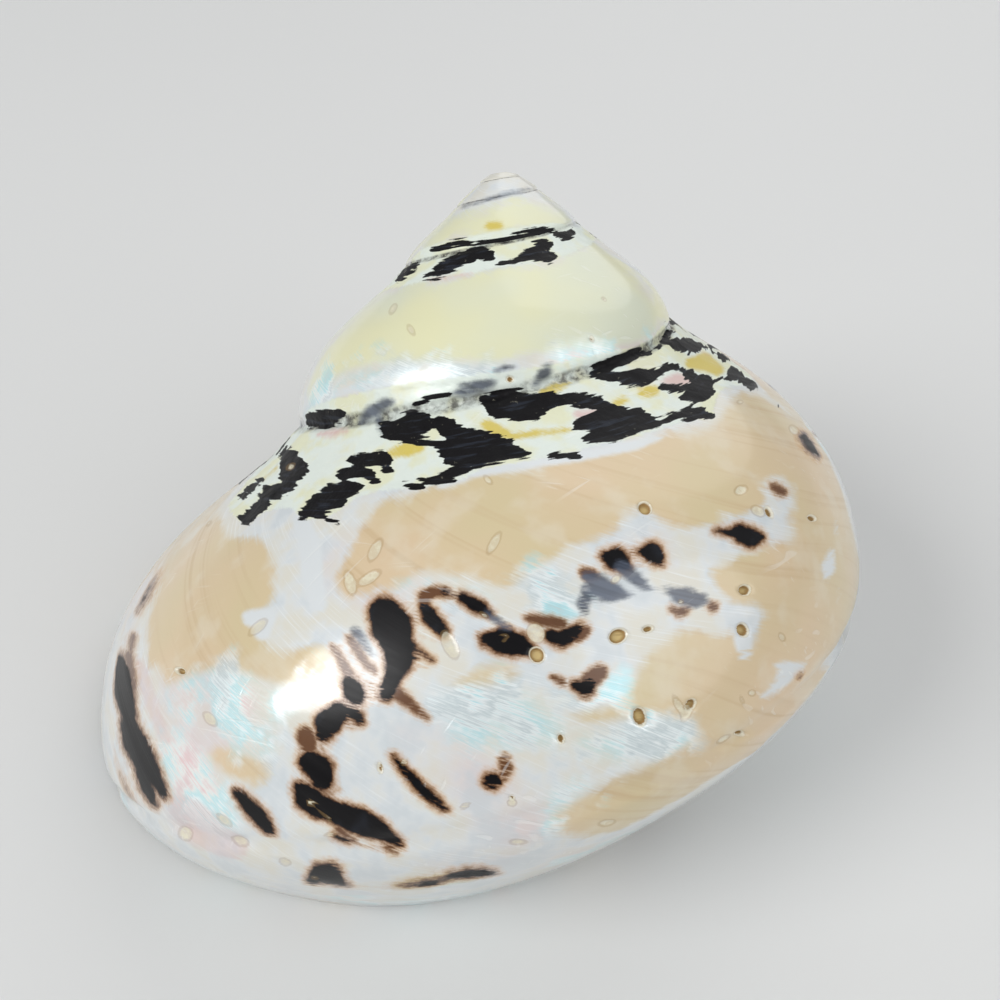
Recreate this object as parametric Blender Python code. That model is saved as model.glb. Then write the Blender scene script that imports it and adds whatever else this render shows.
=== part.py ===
"""A turban shell lying on its mouth, grown as one piece around a leaning axis.

Metres, +Z up, the surface it lies on at Z = 0 and the shell's box centred on the origin. Seen
from -Y the mouth is on the left and turned down, and the apex leans away.

The whole form comes from one outline of the whorl, drawn in a half plane through the axis at the
end of growth. Each earlier outline is the same line, smaller by a constant ratio per turn.
"""
import bmesh
import bpy
import numpy as np

MM = 0.001
TURN = 2 * np.pi

# The full-grown whorl: millimetres out from the axis and down from the apex.
SUTURE = (22.2, 22.8)
SHOULDER = [(25.2, 25.5), (31.7, 29.5), (38.6, 35.0), (43.5, 41.5)]
BELLY = [(46.6, 55.5), (38.3, 66.9), (25.2, 74.9)]
UMBILICUS_RIM = (11.5, 73.2)
UMBILICUS_WALL = (8.1, 58.5)

# Growth: size ratio of one turn, whorls counted back from the lip, and the worn tip.
GROWTH_PER_TURN = 2.058
SPIRE_TURNS = 3.6
TIP_WEAR_MM = 1.4

# The last turn lets its suture sink and overlaps less; the first turns overlap more.
LAST_TURN = np.radians(321)
SUTURE_SINKS_MM = 3.45
OVERLAP_LOST = 0.117
EARLY_OVERLAP = 0.279

# The lip runs obliquely across the whorl, and so does every growth line before it: degrees of
# growth by place, from 0 at the suture over 1 at the next suture to 2 and 3 in the umbilicus.
LIP_SLANT = {0: 57, 0.5: 14, 0.75: -8, 1: -33, 1.5: -79, 1.8: -122, 2: -138, 2.3: -96, 2.6: -61, 3: -48}

# How it lies: the apex leans back and a little left, the lip is left of the front.
LEANS_BACK = np.radians(27.34)
LEANS_LEFT = np.radians(4.0)
LIP_FROM_FRONT = np.radians(105.6)
APEX_HEIGHT_MM = 45.4

# The wall: millimetres at the lip's edge and well inside, and how far in it reaches that.
LIP_EDGE_MM = 1.0
WALL_MM = 2.8
COLUMELLA_MM = 3.6
PARIETAL_GLAZE_MM = 2.0
THICKENS_OVER = np.radians(40)
MOUTH_DEPTH = np.radians(330)

# Fineness of the mesh.
STEPS_PER_TURN = 40
SPIRE_ROWS = 13
BASE_ROWS = 8
UMBILICUS_ROWS = 6
UMBILICUS_TURNS = 1.0

STEP = TURN / STEPS_PER_TURN


def smooth_line(knots, points):
    """The natural cubic line through points, as a function of the knot value."""
    knots = np.array(knots, float)
    points = np.array(points, float)
    gap = np.diff(knots)
    last = len(knots) - 1
    system = np.eye(last + 1)
    pull = np.zeros_like(points)
    for i in range(1, last):
        system[i, i - 1:i + 2] = gap[i - 1], 2 * (gap[i - 1] + gap[i]), gap[i]
        slope_after = (points[i + 1] - points[i]) / gap[i]
        slope_before = (points[i] - points[i - 1]) / gap[i - 1]
        pull[i] = 6 * (slope_after - slope_before)
    bend = np.linalg.solve(system, pull)

    def at(value):
        value = np.atleast_1d(np.asarray(value, float))
        i = np.clip(np.searchsorted(knots, value, side="right") - 1, 0, last - 1)
        before = ((knots[i + 1] - value) / gap[i])[:, None]
        after = 1 - before
        curved = (before**3 - before) * bend[i] + (after**3 - after) * bend[i + 1]
        return before * points[i] + after * points[i + 1] + curved * gap[i][:, None]**2 / 6

    return at


def whorl_outline():
    """The outline by place: 0 suture, 1 next suture, 2 umbilicus rim, 3 the rim before it."""
    suture = np.array(SUTURE)
    rim = np.array(UMBILICUS_RIM)
    points = [suture, *SHOULDER, suture * GROWTH_PER_TURN, *BELLY]
    points += [rim, UMBILICUS_WALL, rim / GROWTH_PER_TURN]
    points = np.array(points) * MM
    along = np.append(0, np.cumsum(np.linalg.norm(np.diff(points, axis=0), axis=1)))
    next_suture = len(SHOULDER) + 1
    rim_at = next_suture + len(BELLY) + 1
    knots = np.interp(along, along[[0, next_suture, rim_at, -1]], [0, 1, 2, 3])
    return smooth_line(knots, points)


OUTLINE = whorl_outline()
SLANT = smooth_line(list(LIP_SLANT), [[np.radians(d)] for d in LIP_SLANT.values()])


def sinking(angle):
    """How far the whorl has sunk along the axis at a growth angle."""
    share = np.clip((angle + LAST_TURN) / LAST_TURN, 0, 2)
    return SUTURE_SINKS_MM * MM * share**2


def suture_place(angle):
    """The place on this whorl where the next one joins it."""
    late = np.clip((angle + TURN + LAST_TURN) / LAST_TURN, 0, 1.2)
    early = np.clip((-angle - 1.5 * TURN) / TURN, 0, 1)
    return 1 + OVERLAP_LOST * late**2 - EARLY_OVERLAP * early


def ease(share):
    share = np.clip(share, 0, 1)
    return (share * share * (3 - 2 * share))[:, None]


def section(angle, place, older=2):
    """Distance from the axis and depth, with both edges drawn onto the whorl before."""
    size = (GROWTH_PER_TURN**(angle / TURN))[:, None]
    sunk = np.outer(sinking(angle), (0, 1))
    point = OUTLINE(place) * size + sunk
    if older:
        before = angle - TURN
        suture = section(before, suture_place(before), older - 1)
        rim = section(before, np.full_like(before, 2), older - 1)
        point += ease(1 - 2 * place) * (suture - OUTLINE(0) * size - sunk)
        point += ease(place - 2) * (rim - OUTLINE(3) * size - sunk)
    return point


def lay_down(point):
    """From the upright shell to the way it lies, tip first back and then left."""
    x, y, z = point.T
    c, s = np.cos(LEANS_BACK), np.sin(LEANS_BACK)
    y, z = y * c + z * s, z * c - y * s
    c, s = np.cos(LEANS_LEFT), np.sin(LEANS_LEFT)
    x, z = x * c - z * s, z * c + x * s
    return np.stack([x, y, z + APEX_HEIGHT_MM * MM], 1)


def shell_points(age, row):
    """Points of the growth line of an age, for the given rows across the whorl."""
    row = np.asarray(row, float)
    angle = age + SLANT(row)[:, 0]
    seam = suture_place(angle)
    place = np.where(row <= 1, seam * row, seam + (2 - seam) * (row - 1))
    place = np.where(row > 2, row, place)
    out, down = section(angle, place).T
    down = np.hypot(down, TIP_WEAR_MM * MM)
    turned = -angle - LIP_FROM_FRONT
    return lay_down(np.stack([out * np.sin(turned), -out * np.cos(turned), -down], 1))


# The slant is the same at both seams, so one turn of the seams is this many steps of age.
SEAM_STEPS = STEPS_PER_TURN - round(np.radians(LIP_SLANT[0] - LIP_SLANT[1]) / STEP)
SPIRE = np.linspace(0, 1, SPIRE_ROWS + 1)
BASE = np.linspace(1, 2, BASE_ROWS + 1)
UMBILICUS = np.linspace(2, 3, UMBILICUS_ROWS + 1)
MOUTH_ROWS = np.concatenate([SPIRE, BASE[1:], UMBILICUS[1:]])


def mouth_ring(age):
    """The closed line around the mouth at an age: the lip, then the whorl before it."""
    parietal = shell_points(age - SEAM_STEPS * STEP, BASE[-2:0:-1])
    return np.concatenate([shell_points(age, MOUTH_ROWS), parietal])


def wall_thickness(age):
    """Thickness around the mouth ring at an age, thin at the lip's edge."""
    inner = [WALL_MM] * (SPIRE_ROWS + BASE_ROWS) + [COLUMELLA_MM] * (UMBILICUS_ROWS + 1)
    inner = np.array(inner + [PARIETAL_GLAZE_MM] * (BASE_ROWS - 1))
    share = np.clip(-age / THICKENS_OVER, 0, 1)
    size = GROWTH_PER_TURN**(age / TURN)
    return (LIP_EDGE_MM + (inner - LIP_EDGE_MM) * np.sqrt(share)) * size * MM


def hollow_ring(age):
    """The mouth ring moved in by the wall, its corners eased."""
    ring = mouth_ring(age)
    inward = ring.mean(0) - ring
    inward /= np.linalg.norm(inward, axis=1)[:, None]
    ring = ring + inward * wall_thickness(age)[:, None]
    return (np.roll(ring, 1, 0) + 2 * ring + np.roll(ring, -1, 0)) / 4


def grow(bm, lines, closed=False):
    """Draws the first line of points and extrudes it through the others."""
    number = bm.verts.layers.int["number"]
    verts = []
    for count, point in enumerate(lines[0]):
        vert = bm.verts.new(point)
        vert[number] = count
        verts.append(vert)
    edges = [bm.edges.new(pair) for pair in zip(verts, verts[1:])]
    if closed:
        edges.append(bm.edges.new((verts[-1], verts[0])))
    for line in lines[1:]:
        grown = bmesh.ops.extrude_edge_only(bm, edges=edges)["geom"]
        verts = {v for v in grown if isinstance(v, bmesh.types.BMVert)}
        edges = [e for e in grown if isinstance(e, bmesh.types.BMEdge) and set(e.verts) <= verts]
        for vert in verts:
            vert.co = line[vert[number]]


def ages(first, last):
    """The ages of the growth steps from first to last, both included."""
    way = 1 if last > first else -1
    return [step * STEP for step in range(first, last + way, way)]


def close_ends(bm):
    """Closes the tip, the top of the umbilicus and the end of the hollow with fans."""
    ends = bmesh.ops.holes_fill(bm, edges=bm.edges, sides=0)["faces"]
    centres = bmesh.ops.poke(bm, faces=ends)["verts"]
    tip = max(centres, key=lambda vert: vert.co.z)
    tip.co = lay_down(np.array([[0, 0, -TIP_WEAR_MM * MM]]))[0]


def stand_flat(bm):
    """Grinds off what lies under the surface, which leaves small flat feet."""
    everything = list(bm.verts) + list(bm.edges) + list(bm.faces)
    cut = bmesh.ops.bisect_plane(bm, geom=everything, dist=MM / 1000, plane_co=(0, 0, 0),
                                 plane_no=(0, 0, 1), clear_inner=True)["geom_cut"]
    rim = [e for e in cut if isinstance(e, bmesh.types.BMEdge) and e.is_boundary]
    bmesh.ops.triangle_fill(bm, use_beauty=True, edges=rim)


def centre_over_origin(bm):
    points = np.array([vert.co for vert in bm.verts])
    middle = (points.min(0) + points.max(0)) / 2
    bmesh.ops.translate(bm, verts=bm.verts, vec=(-middle[0], -middle[1], 0))


def material(name, colour, roughness, metallic=0.0):
    made = bpy.data.materials.new(name)
    made.use_nodes = True
    shader = made.node_tree.nodes["Principled BSDF"]
    shader.inputs["Base Color"].default_value = (*colour, 1)
    shader.inputs["Roughness"].default_value = roughness
    shader.inputs["Metallic"].default_value = metallic
    return made


def shell_mesh():
    bm = bmesh.new()
    bm.verts.layers.int.new("number")
    first_whorl = -round(SPIRE_TURNS * STEPS_PER_TURN)
    deepest = -SEAM_STEPS - round(UMBILICUS_TURNS * STEPS_PER_TURN)
    grow(bm, [shell_points(age, SPIRE) for age in ages(first_whorl, 0)])
    grow(bm, [shell_points(age, BASE) for age in ages(-SEAM_STEPS, 0)])
    grow(bm, [shell_points(age, UMBILICUS) for age in ages(deepest, 0)])
    inside = [hollow_ring(age) for age in ages(0, -round(MOUTH_DEPTH / STEP))]
    grow(bm, [mouth_ring(0.0), *inside], closed=True)
    bmesh.ops.remove_doubles(bm, verts=bm.verts, dist=0.01 * MM)
    close_ends(bm)
    stand_flat(bm)
    bmesh.ops.triangulate(bm, faces=bm.faces)
    bmesh.ops.recalc_face_normals(bm, faces=bm.faces)
    centre_over_origin(bm)
    return bm


def main():
    for old in list(bpy.data.objects):
        bpy.data.objects.remove(old, do_unlink=True)
    mesh = bpy.data.meshes.new("shell")
    bm = shell_mesh()
    bm.to_mesh(mesh)
    bm.free()
    mesh.shade_smooth()
    mesh.set_sharp_from_angle(angle=np.radians(40))
    shell = bpy.data.objects.new("shell", mesh)
    shell.data.materials.append(material("polished shell", (0.80, 0.68, 0.52), 0.25))
    bpy.context.collection.objects.link(shell)


if __name__ == "__main__":
    main()
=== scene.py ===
# %% [markdown]
# A polished turban shell
#
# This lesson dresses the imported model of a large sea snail's shell. The shell lies on its mouth,
# and its top layers have been ground through in places, so that one surface shows four things:
# the rough dark and chalky skin in the seam, a cream layer, white porcelain and mother-of-pearl.
# The model's frame is loaded first, because every size below is held against it.

import bmesh
import bpy
import numpy as np
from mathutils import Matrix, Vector, noise
from mathutils.bvhtree import BVHTree


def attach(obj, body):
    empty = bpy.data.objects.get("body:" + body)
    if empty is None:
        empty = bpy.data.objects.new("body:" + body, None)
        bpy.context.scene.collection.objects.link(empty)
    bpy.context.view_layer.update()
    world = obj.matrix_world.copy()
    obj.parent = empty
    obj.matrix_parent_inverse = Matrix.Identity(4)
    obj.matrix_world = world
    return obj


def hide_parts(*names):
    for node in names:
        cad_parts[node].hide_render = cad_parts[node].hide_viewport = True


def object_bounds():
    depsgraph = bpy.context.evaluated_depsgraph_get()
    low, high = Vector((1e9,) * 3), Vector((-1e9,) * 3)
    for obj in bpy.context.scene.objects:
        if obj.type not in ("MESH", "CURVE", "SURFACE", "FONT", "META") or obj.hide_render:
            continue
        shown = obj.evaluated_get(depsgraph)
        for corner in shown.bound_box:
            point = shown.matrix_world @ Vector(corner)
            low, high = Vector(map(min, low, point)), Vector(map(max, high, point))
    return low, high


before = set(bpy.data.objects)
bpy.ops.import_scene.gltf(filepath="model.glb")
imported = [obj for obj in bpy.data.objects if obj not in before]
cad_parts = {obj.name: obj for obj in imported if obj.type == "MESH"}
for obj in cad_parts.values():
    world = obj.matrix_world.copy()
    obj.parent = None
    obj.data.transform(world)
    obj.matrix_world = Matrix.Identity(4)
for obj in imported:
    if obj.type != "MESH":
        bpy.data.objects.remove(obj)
cad_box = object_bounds()
MM = 0.001
TURN = 2 * np.pi
print("the frame's box in mm:", [[round(value / MM, 1) for value in corner] for corner in cad_box])

# %% [markdown]
# The law of growth
#
# A snail builds its shell at the lip alone, and always in the same shape, only larger. One outline
# of the whorl and one ratio per turn therefore give the whole form. It could be sculpted, but a
# sculpted spiral drifts, while a grown one has true seams. The numbers are those of the solid
# model: millimetres out from the axis and down from the apex.

# %% The outline of the full-grown whorl
SUTURE = (22.2, 22.8)
SHOULDER = [(25.2, 25.5), (31.7, 29.5), (38.6, 35.0), (43.5, 41.5)]
BELLY = [(46.6, 55.5), (38.3, 66.9), (25.2, 74.9)]
UMBILICUS_RIM = (11.5, 73.2)
UMBILICUS_WALL = (8.1, 58.5)
GROWTH_PER_TURN = 2.058
SPIRE_TURNS = 4.5
TIP_WEAR = 1.4 * MM
LAST_TURN = np.radians(321)
SUTURE_SINKS = 3.45 * MM
OVERLAP_LOST = 0.117
EARLY_OVERLAP = 0.279
LIP_SLANT = {0: 57, 0.5: 14, 0.75: -8, 1: -33, 1.5: -79, 1.8: -122, 2: -138, 2.3: -96, 2.6: -61, 3: -48}
LEANS_BACK = np.radians(27.34)
LEANS_LEFT = np.radians(4.0)
LIP_FROM_FRONT = np.radians(105.6)
APEX_HEIGHT = 45.4 * MM


def smooth_line(knots, points):
    """The natural cubic line through points, as a function of the knot value."""
    knots = np.array(knots, float)
    points = np.array(points, float)
    gap = np.diff(knots)
    last = len(knots) - 1
    system = np.eye(last + 1)
    pull = np.zeros_like(points)
    for i in range(1, last):
        system[i, i - 1:i + 2] = gap[i - 1], 2 * (gap[i - 1] + gap[i]), gap[i]
        slope_after = (points[i + 1] - points[i]) / gap[i]
        slope_before = (points[i] - points[i - 1]) / gap[i - 1]
        pull[i] = 6 * (slope_after - slope_before)
    bend = np.linalg.solve(system, pull)

    def at(value):
        value = np.atleast_1d(np.asarray(value, float))
        i = np.clip(np.searchsorted(knots, value, side="right") - 1, 0, last - 1)
        before = ((knots[i + 1] - value) / gap[i])[:, None]
        after = 1 - before
        curved = (before**3 - before) * bend[i] + (after**3 - after) * bend[i + 1]
        return before * points[i] + after * points[i + 1] + curved * gap[i][:, None]**2 / 6

    return at


def whorl_outline():
    """The outline by place: 0 suture, 1 next suture, 2 umbilicus rim, 3 the rim before it."""
    suture = np.array(SUTURE)
    rim = np.array(UMBILICUS_RIM)
    points = [suture, *SHOULDER, suture * GROWTH_PER_TURN, *BELLY]
    points += [rim, UMBILICUS_WALL, rim / GROWTH_PER_TURN]
    points = np.array(points) * MM
    along = np.append(0, np.cumsum(np.linalg.norm(np.diff(points, axis=0), axis=1)))
    next_suture = len(SHOULDER) + 1
    rim_at = next_suture + len(BELLY) + 1
    knots = np.interp(along, along[[0, next_suture, rim_at, -1]], [0, 1, 2, 3])
    return smooth_line(knots, points)


OUTLINE = whorl_outline()
SLANT = smooth_line(list(LIP_SLANT), [[np.radians(d)] for d in LIP_SLANT.values()])
print("the lip slants through", LIP_SLANT[0] - min(LIP_SLANT.values()), "degrees of growth")

# %% [markdown]
# Where each whorl meets the one before
#
# Real whorls overlap, and the seam between them is where the new shell was glued on. Here both
# edges of the outline are drawn onto the whorl before, so the seams close by themselves. Every
# point of the surface has two names of its own: its age, and its row across the whorl. The rest
# of the lesson uses these two as its map of the shell.


# %% Places on the shell by age and row
def sinking(angle):
    """How far the whorl has sunk along the axis at a growth angle."""
    share = np.clip((angle + LAST_TURN) / LAST_TURN, 0, 2)
    return SUTURE_SINKS * share**2


def suture_place(angle):
    """The place on this whorl where the next one joins it."""
    late = np.clip((angle + TURN + LAST_TURN) / LAST_TURN, 0, 1.2)
    early = np.clip((-angle - 1.5 * TURN) / TURN, 0, 1)
    return 1 + OVERLAP_LOST * late**2 - EARLY_OVERLAP * early


def ease(share):
    """A share from 0 to 1 with a soft start and end."""
    share = np.clip(share, 0, 1)
    return share * share * (3 - 2 * share)


def section(angle, place, older=2):
    """Distance from the axis and depth, with both edges drawn onto the whorl before."""
    size = (GROWTH_PER_TURN**(angle / TURN))[:, None]
    sunk = np.outer(sinking(angle), (0, 1))
    point = OUTLINE(place) * size + sunk
    if older:
        before = angle - TURN
        suture = section(before, suture_place(before), older - 1)
        rim = section(before, np.full_like(before, 2), older - 1)
        point += ease(1 - 2 * place)[:, None] * (suture - OUTLINE(0) * size - sunk)
        point += ease(place - 2)[:, None] * (rim - OUTLINE(3) * size - sunk)
    return point


def lay_down(point):
    """From the upright shell to the way it lies, tip first back and then left."""
    x, y, z = point.T
    c, s = np.cos(LEANS_BACK), np.sin(LEANS_BACK)
    y, z = y * c + z * s, z * c - y * s
    c, s = np.cos(LEANS_LEFT), np.sin(LEANS_LEFT)
    x, z = x * c - z * s, z * c + x * s
    return np.stack([x, y, z + APEX_HEIGHT], 1)


def grown_points(age, row):
    """Points of the growing shell before it is set into the frame."""
    row = np.asarray(row, float)
    angle = age + SLANT(row)[:, 0]
    seam = suture_place(angle)
    place = np.where(row <= 1, seam * row, seam + (2 - seam) * (row - 1))
    place = np.where(row > 2, row, place)
    out, down = section(angle, place).T
    down = np.hypot(down, TIP_WEAR)
    turned = -angle - LIP_FROM_FRONT
    return lay_down(np.stack([out * np.sin(turned), -out * np.cos(turned), -down], 1))


print("one turn back, the shell had", round(100 / GROWTH_PER_TURN), "percent of its size")

# %% [markdown]
# Set into the frame
#
# The solid model has flat facets, and a finer mesh of the same form bulges a little beyond them.
# The fine shell is therefore measured once as bare points, and made smaller by the third of a
# percent that keeps it inside the frame's box.

# %% Measure the fine form and fit it
STEPS_PER_TURN = 160
SPIRE_ROWS = 32
BASE_ROWS = 20
UMBILICUS_ROWS = 10
STEP = TURN / STEPS_PER_TURN
SEAM_STEPS = STEPS_PER_TURN - round(np.radians(LIP_SLANT[0] - LIP_SLANT[1]) / STEP)
SPIRE = np.linspace(0, 1, SPIRE_ROWS + 1)
BASE = np.linspace(1, 2, BASE_ROWS + 1)
UMBILICUS = np.linspace(2, 3, UMBILICUS_ROWS + 1)
MOUTH_ROWS = np.concatenate([SPIRE, BASE[1:], UMBILICUS[1:]])

last_turn = np.concatenate([grown_points(-step * STEP, MOUTH_ROWS) for step in range(STEPS_PER_TURN)])
low, high = last_turn.min(0), last_turn.max(0)
tip = lay_down(np.array([[0, 0, -TIP_WEAR]]))[0]
BOX_MIDDLE = np.array([(low[0] + high[0]) / 2, (low[1] + high[1]) / 2, 0])
own_size = np.array([high[0] - low[0], high[1] - low[1], tip[2]])
cad_size = np.array([cad_box[1][0] - cad_box[0][0], cad_box[1][1] - cad_box[0][1], cad_box[1][2]])
ROOM_TO_SPARE = 0.9996
FIT = min(cad_size / own_size) * ROOM_TO_SPARE


def in_frame(points):
    return (points - BOX_MIDDLE) * FIT


def shell_points(age, row):
    """Points of the growth line of an age, for the given rows across the whorl."""
    return in_frame(grown_points(age, row))


print("fitted by", round(FIT, 5), "around", (BOX_MIDDLE / MM).round(2), "mm")

# %% [markdown]
# The camera of the photograph
#
# The picture was taken from close by with a phone, so perspective is strong: the near lip looks
# larger than the far spire. The lens and the place were found from the shell's outline and its
# seams. The camera comes early, because the marks are later drawn as seen from it.

# %% The camera
IMAGE = 1000
LENS = 36.0
SENSOR = 36.0
LOOKS_DOWN = np.radians(42.9)
CAMERA_FROM_APEX = np.array([-0.14, -90.86, 40.09]) * MM
CAMERA_PLACE = in_frame((CAMERA_FROM_APEX + [0, 0, APEX_HEIGHT])[None])[0]

camera = bpy.data.objects.new("camera", bpy.data.cameras.new("camera"))
camera.data.lens = LENS
camera.data.sensor_width = SENSOR
camera.data.clip_start = 0.01
camera.location = CAMERA_PLACE
camera.rotation_euler = (np.pi / 2 - LOOKS_DOWN, 0, 0)
bpy.context.collection.objects.link(camera)
bpy.context.scene.camera = camera


def seen_at(points):
    """Pixels of the photograph at which points of the frame appear."""
    away = np.asarray(points) - CAMERA_PLACE
    c, s = np.cos(LOOKS_DOWN), np.sin(LOOKS_DOWN)
    depth = away[:, 1] * c - away[:, 2] * s
    down = -away[:, 1] * s - away[:, 2] * c
    scale = IMAGE * LENS / SENSOR / depth
    return np.stack([IMAGE / 2 + away[:, 0] * scale, IMAGE / 2 + down * scale], 1)


print("the tip appears at", seen_at(in_frame(tip[None]))[0].round(), "in the photograph")

# %% [markdown]
# Growing the mesh
#
# A line of vertices is laid across the whorl and extruded edge by edge from the tip to the lip,
# the way the animal adds its growth lines. Extruding keeps the faces in order, so each corner can
# note the age and row that it has. A screw modifier could turn the outline, but not along growth
# lines that slant, and not with seams that sink.


# %% Strips of shell
def grow(bm, lines, ages, rows, closed=False, material=0):
    """Draws the first line of points, extrudes it through the others, and notes age and row."""
    number = bm.verts.layers.int["number"]
    line_of = bm.verts.layers.int["line"]
    grown_at = bm.loops.layers.uv["age and row"]
    old_faces = set(bm.faces)
    verts = []
    for count, point in enumerate(lines[0]):
        vert = bm.verts.new(point)
        vert[number] = count
        verts.append(vert)
    edges = [bm.edges.new(pair) for pair in zip(verts, verts[1:])]
    if closed:
        edges.append(bm.edges.new((verts[-1], verts[0])))
    for place, line in enumerate(lines[1:], 1):
        grown = bmesh.ops.extrude_edge_only(bm, edges=edges)["geom"]
        verts = {v for v in grown if isinstance(v, bmesh.types.BMVert)}
        edges = [e for e in grown if isinstance(e, bmesh.types.BMEdge) and set(e.verts) <= verts]
        for vert in verts:
            vert.co = line[vert[number]]
            vert[line_of] = place
    for face in bm.faces:
        if face in old_faces:
            continue
        face.material_index = material
        for loop in face.loops:
            loop[grown_at].uv = ages[loop.vert[line_of]], rows[loop.vert[number]]


# %% [markdown]
# The mouth and its hollow
#
# The real shell is a tube that the animal lived in. Its wall is sharp at the lip and thickens
# quickly behind it. The hollow is the mouth's own ring, moved in by the wall and carried back
# along the whorl. It is coarser than the outside, because only its first part is ever seen.

# %% The wall and the hollow
LIP_EDGE = 1.0 * MM
WALL = 2.8 * MM
COLUMELLA = 3.6 * MM
PARIETAL_GLAZE = 2.0 * MM
THICKENS_OVER = np.radians(40)
MOUTH_DEPTH = np.radians(330)
HOLLOW_STRIDE = 3
EASING_ROUNDS = 4
WELD = 0.01 * MM


def mouth_ring(age):
    """The closed line around the mouth at an age: the lip, then the whorl before it."""
    parietal = shell_points(age - SEAM_STEPS * STEP, BASE[-2:0:-1])
    return np.concatenate([shell_points(age, MOUTH_ROWS), parietal])


def wall_thickness(age):
    """Thickness around the mouth ring at an age, thin at the lip's edge."""
    inner = [WALL] * (SPIRE_ROWS + BASE_ROWS) + [COLUMELLA] * (UMBILICUS_ROWS + 1)
    inner = np.array(inner + [PARIETAL_GLAZE] * (BASE_ROWS - 1))
    share = np.clip(-age / THICKENS_OVER, 0, 1)
    size = GROWTH_PER_TURN**(age / TURN)
    return (LIP_EDGE + (inner - LIP_EDGE) * np.sqrt(share)) * size


def hollow_ring(age):
    """The mouth ring moved in by the wall, its corners eased."""
    ring = mouth_ring(age)
    inward = ring.mean(0) - ring
    inward /= np.linalg.norm(inward, axis=1)[:, None]
    ring = ring + inward * wall_thickness(age)[:, None]
    for _ in range(EASING_ROUNDS):
        ring = (np.roll(ring, 1, 0) + 2 * ring + np.roll(ring, -1, 0)) / 4
    return ring


def close_ends(bm):
    """Closes the tip, the top of the umbilicus and the end of the hollow with fans."""
    ends = bmesh.ops.holes_fill(bm, edges=bm.edges, sides=0)["faces"]
    made = bmesh.ops.poke(bm, faces=ends)
    highest = max(made["verts"], key=lambda vert: vert.co.z)
    highest.co = in_frame(tip[None])[0]
    for face in made["faces"]:
        face.material_index = 1
        for loop in face.loops:
            loop[bm.loops.layers.uv["age and row"]].uv = -SPIRE_TURNS * TURN, 0.5


def grown_shell():
    """The whole shell as one closed skin: outside 0, hollow 1."""
    bm = bmesh.new()
    bm.verts.layers.int.new("number")
    bm.verts.layers.int.new("line")
    bm.loops.layers.uv.new("age and row")
    first_whorl = -round(SPIRE_TURNS * STEPS_PER_TURN)
    deepest = -SEAM_STEPS - STEPS_PER_TURN
    for rows, oldest in ((SPIRE, first_whorl), (BASE, -SEAM_STEPS), (UMBILICUS, deepest)):
        ages = [step * STEP for step in range(oldest, 1)]
        grow(bm, [shell_points(age, rows) for age in ages], ages, rows)
    inner = [0.0, *[step * STEP for step in range(0, -round(MOUTH_DEPTH / STEP), -HOLLOW_STRIDE)]]
    rings = [mouth_ring(0.0), *[hollow_ring(age) for age in inner[1:]]]
    ring_rows = np.concatenate([MOUTH_ROWS, 3 + np.linspace(0, 1, BASE_ROWS + 1)[1:-1]])
    grow(bm, rings, inner, ring_rows, closed=True, material=1)
    bmesh.ops.remove_doubles(bm, verts=bm.verts, dist=WELD)
    close_ends(bm)
    bmesh.ops.recalc_face_normals(bm, faces=bm.faces)
    return bm


shell = grown_shell()
open_edges = [edge for edge in shell.edges if not edge.is_manifold]
print("grown:", len(shell.faces), "faces,", len(open_edges), "open edges")
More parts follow.
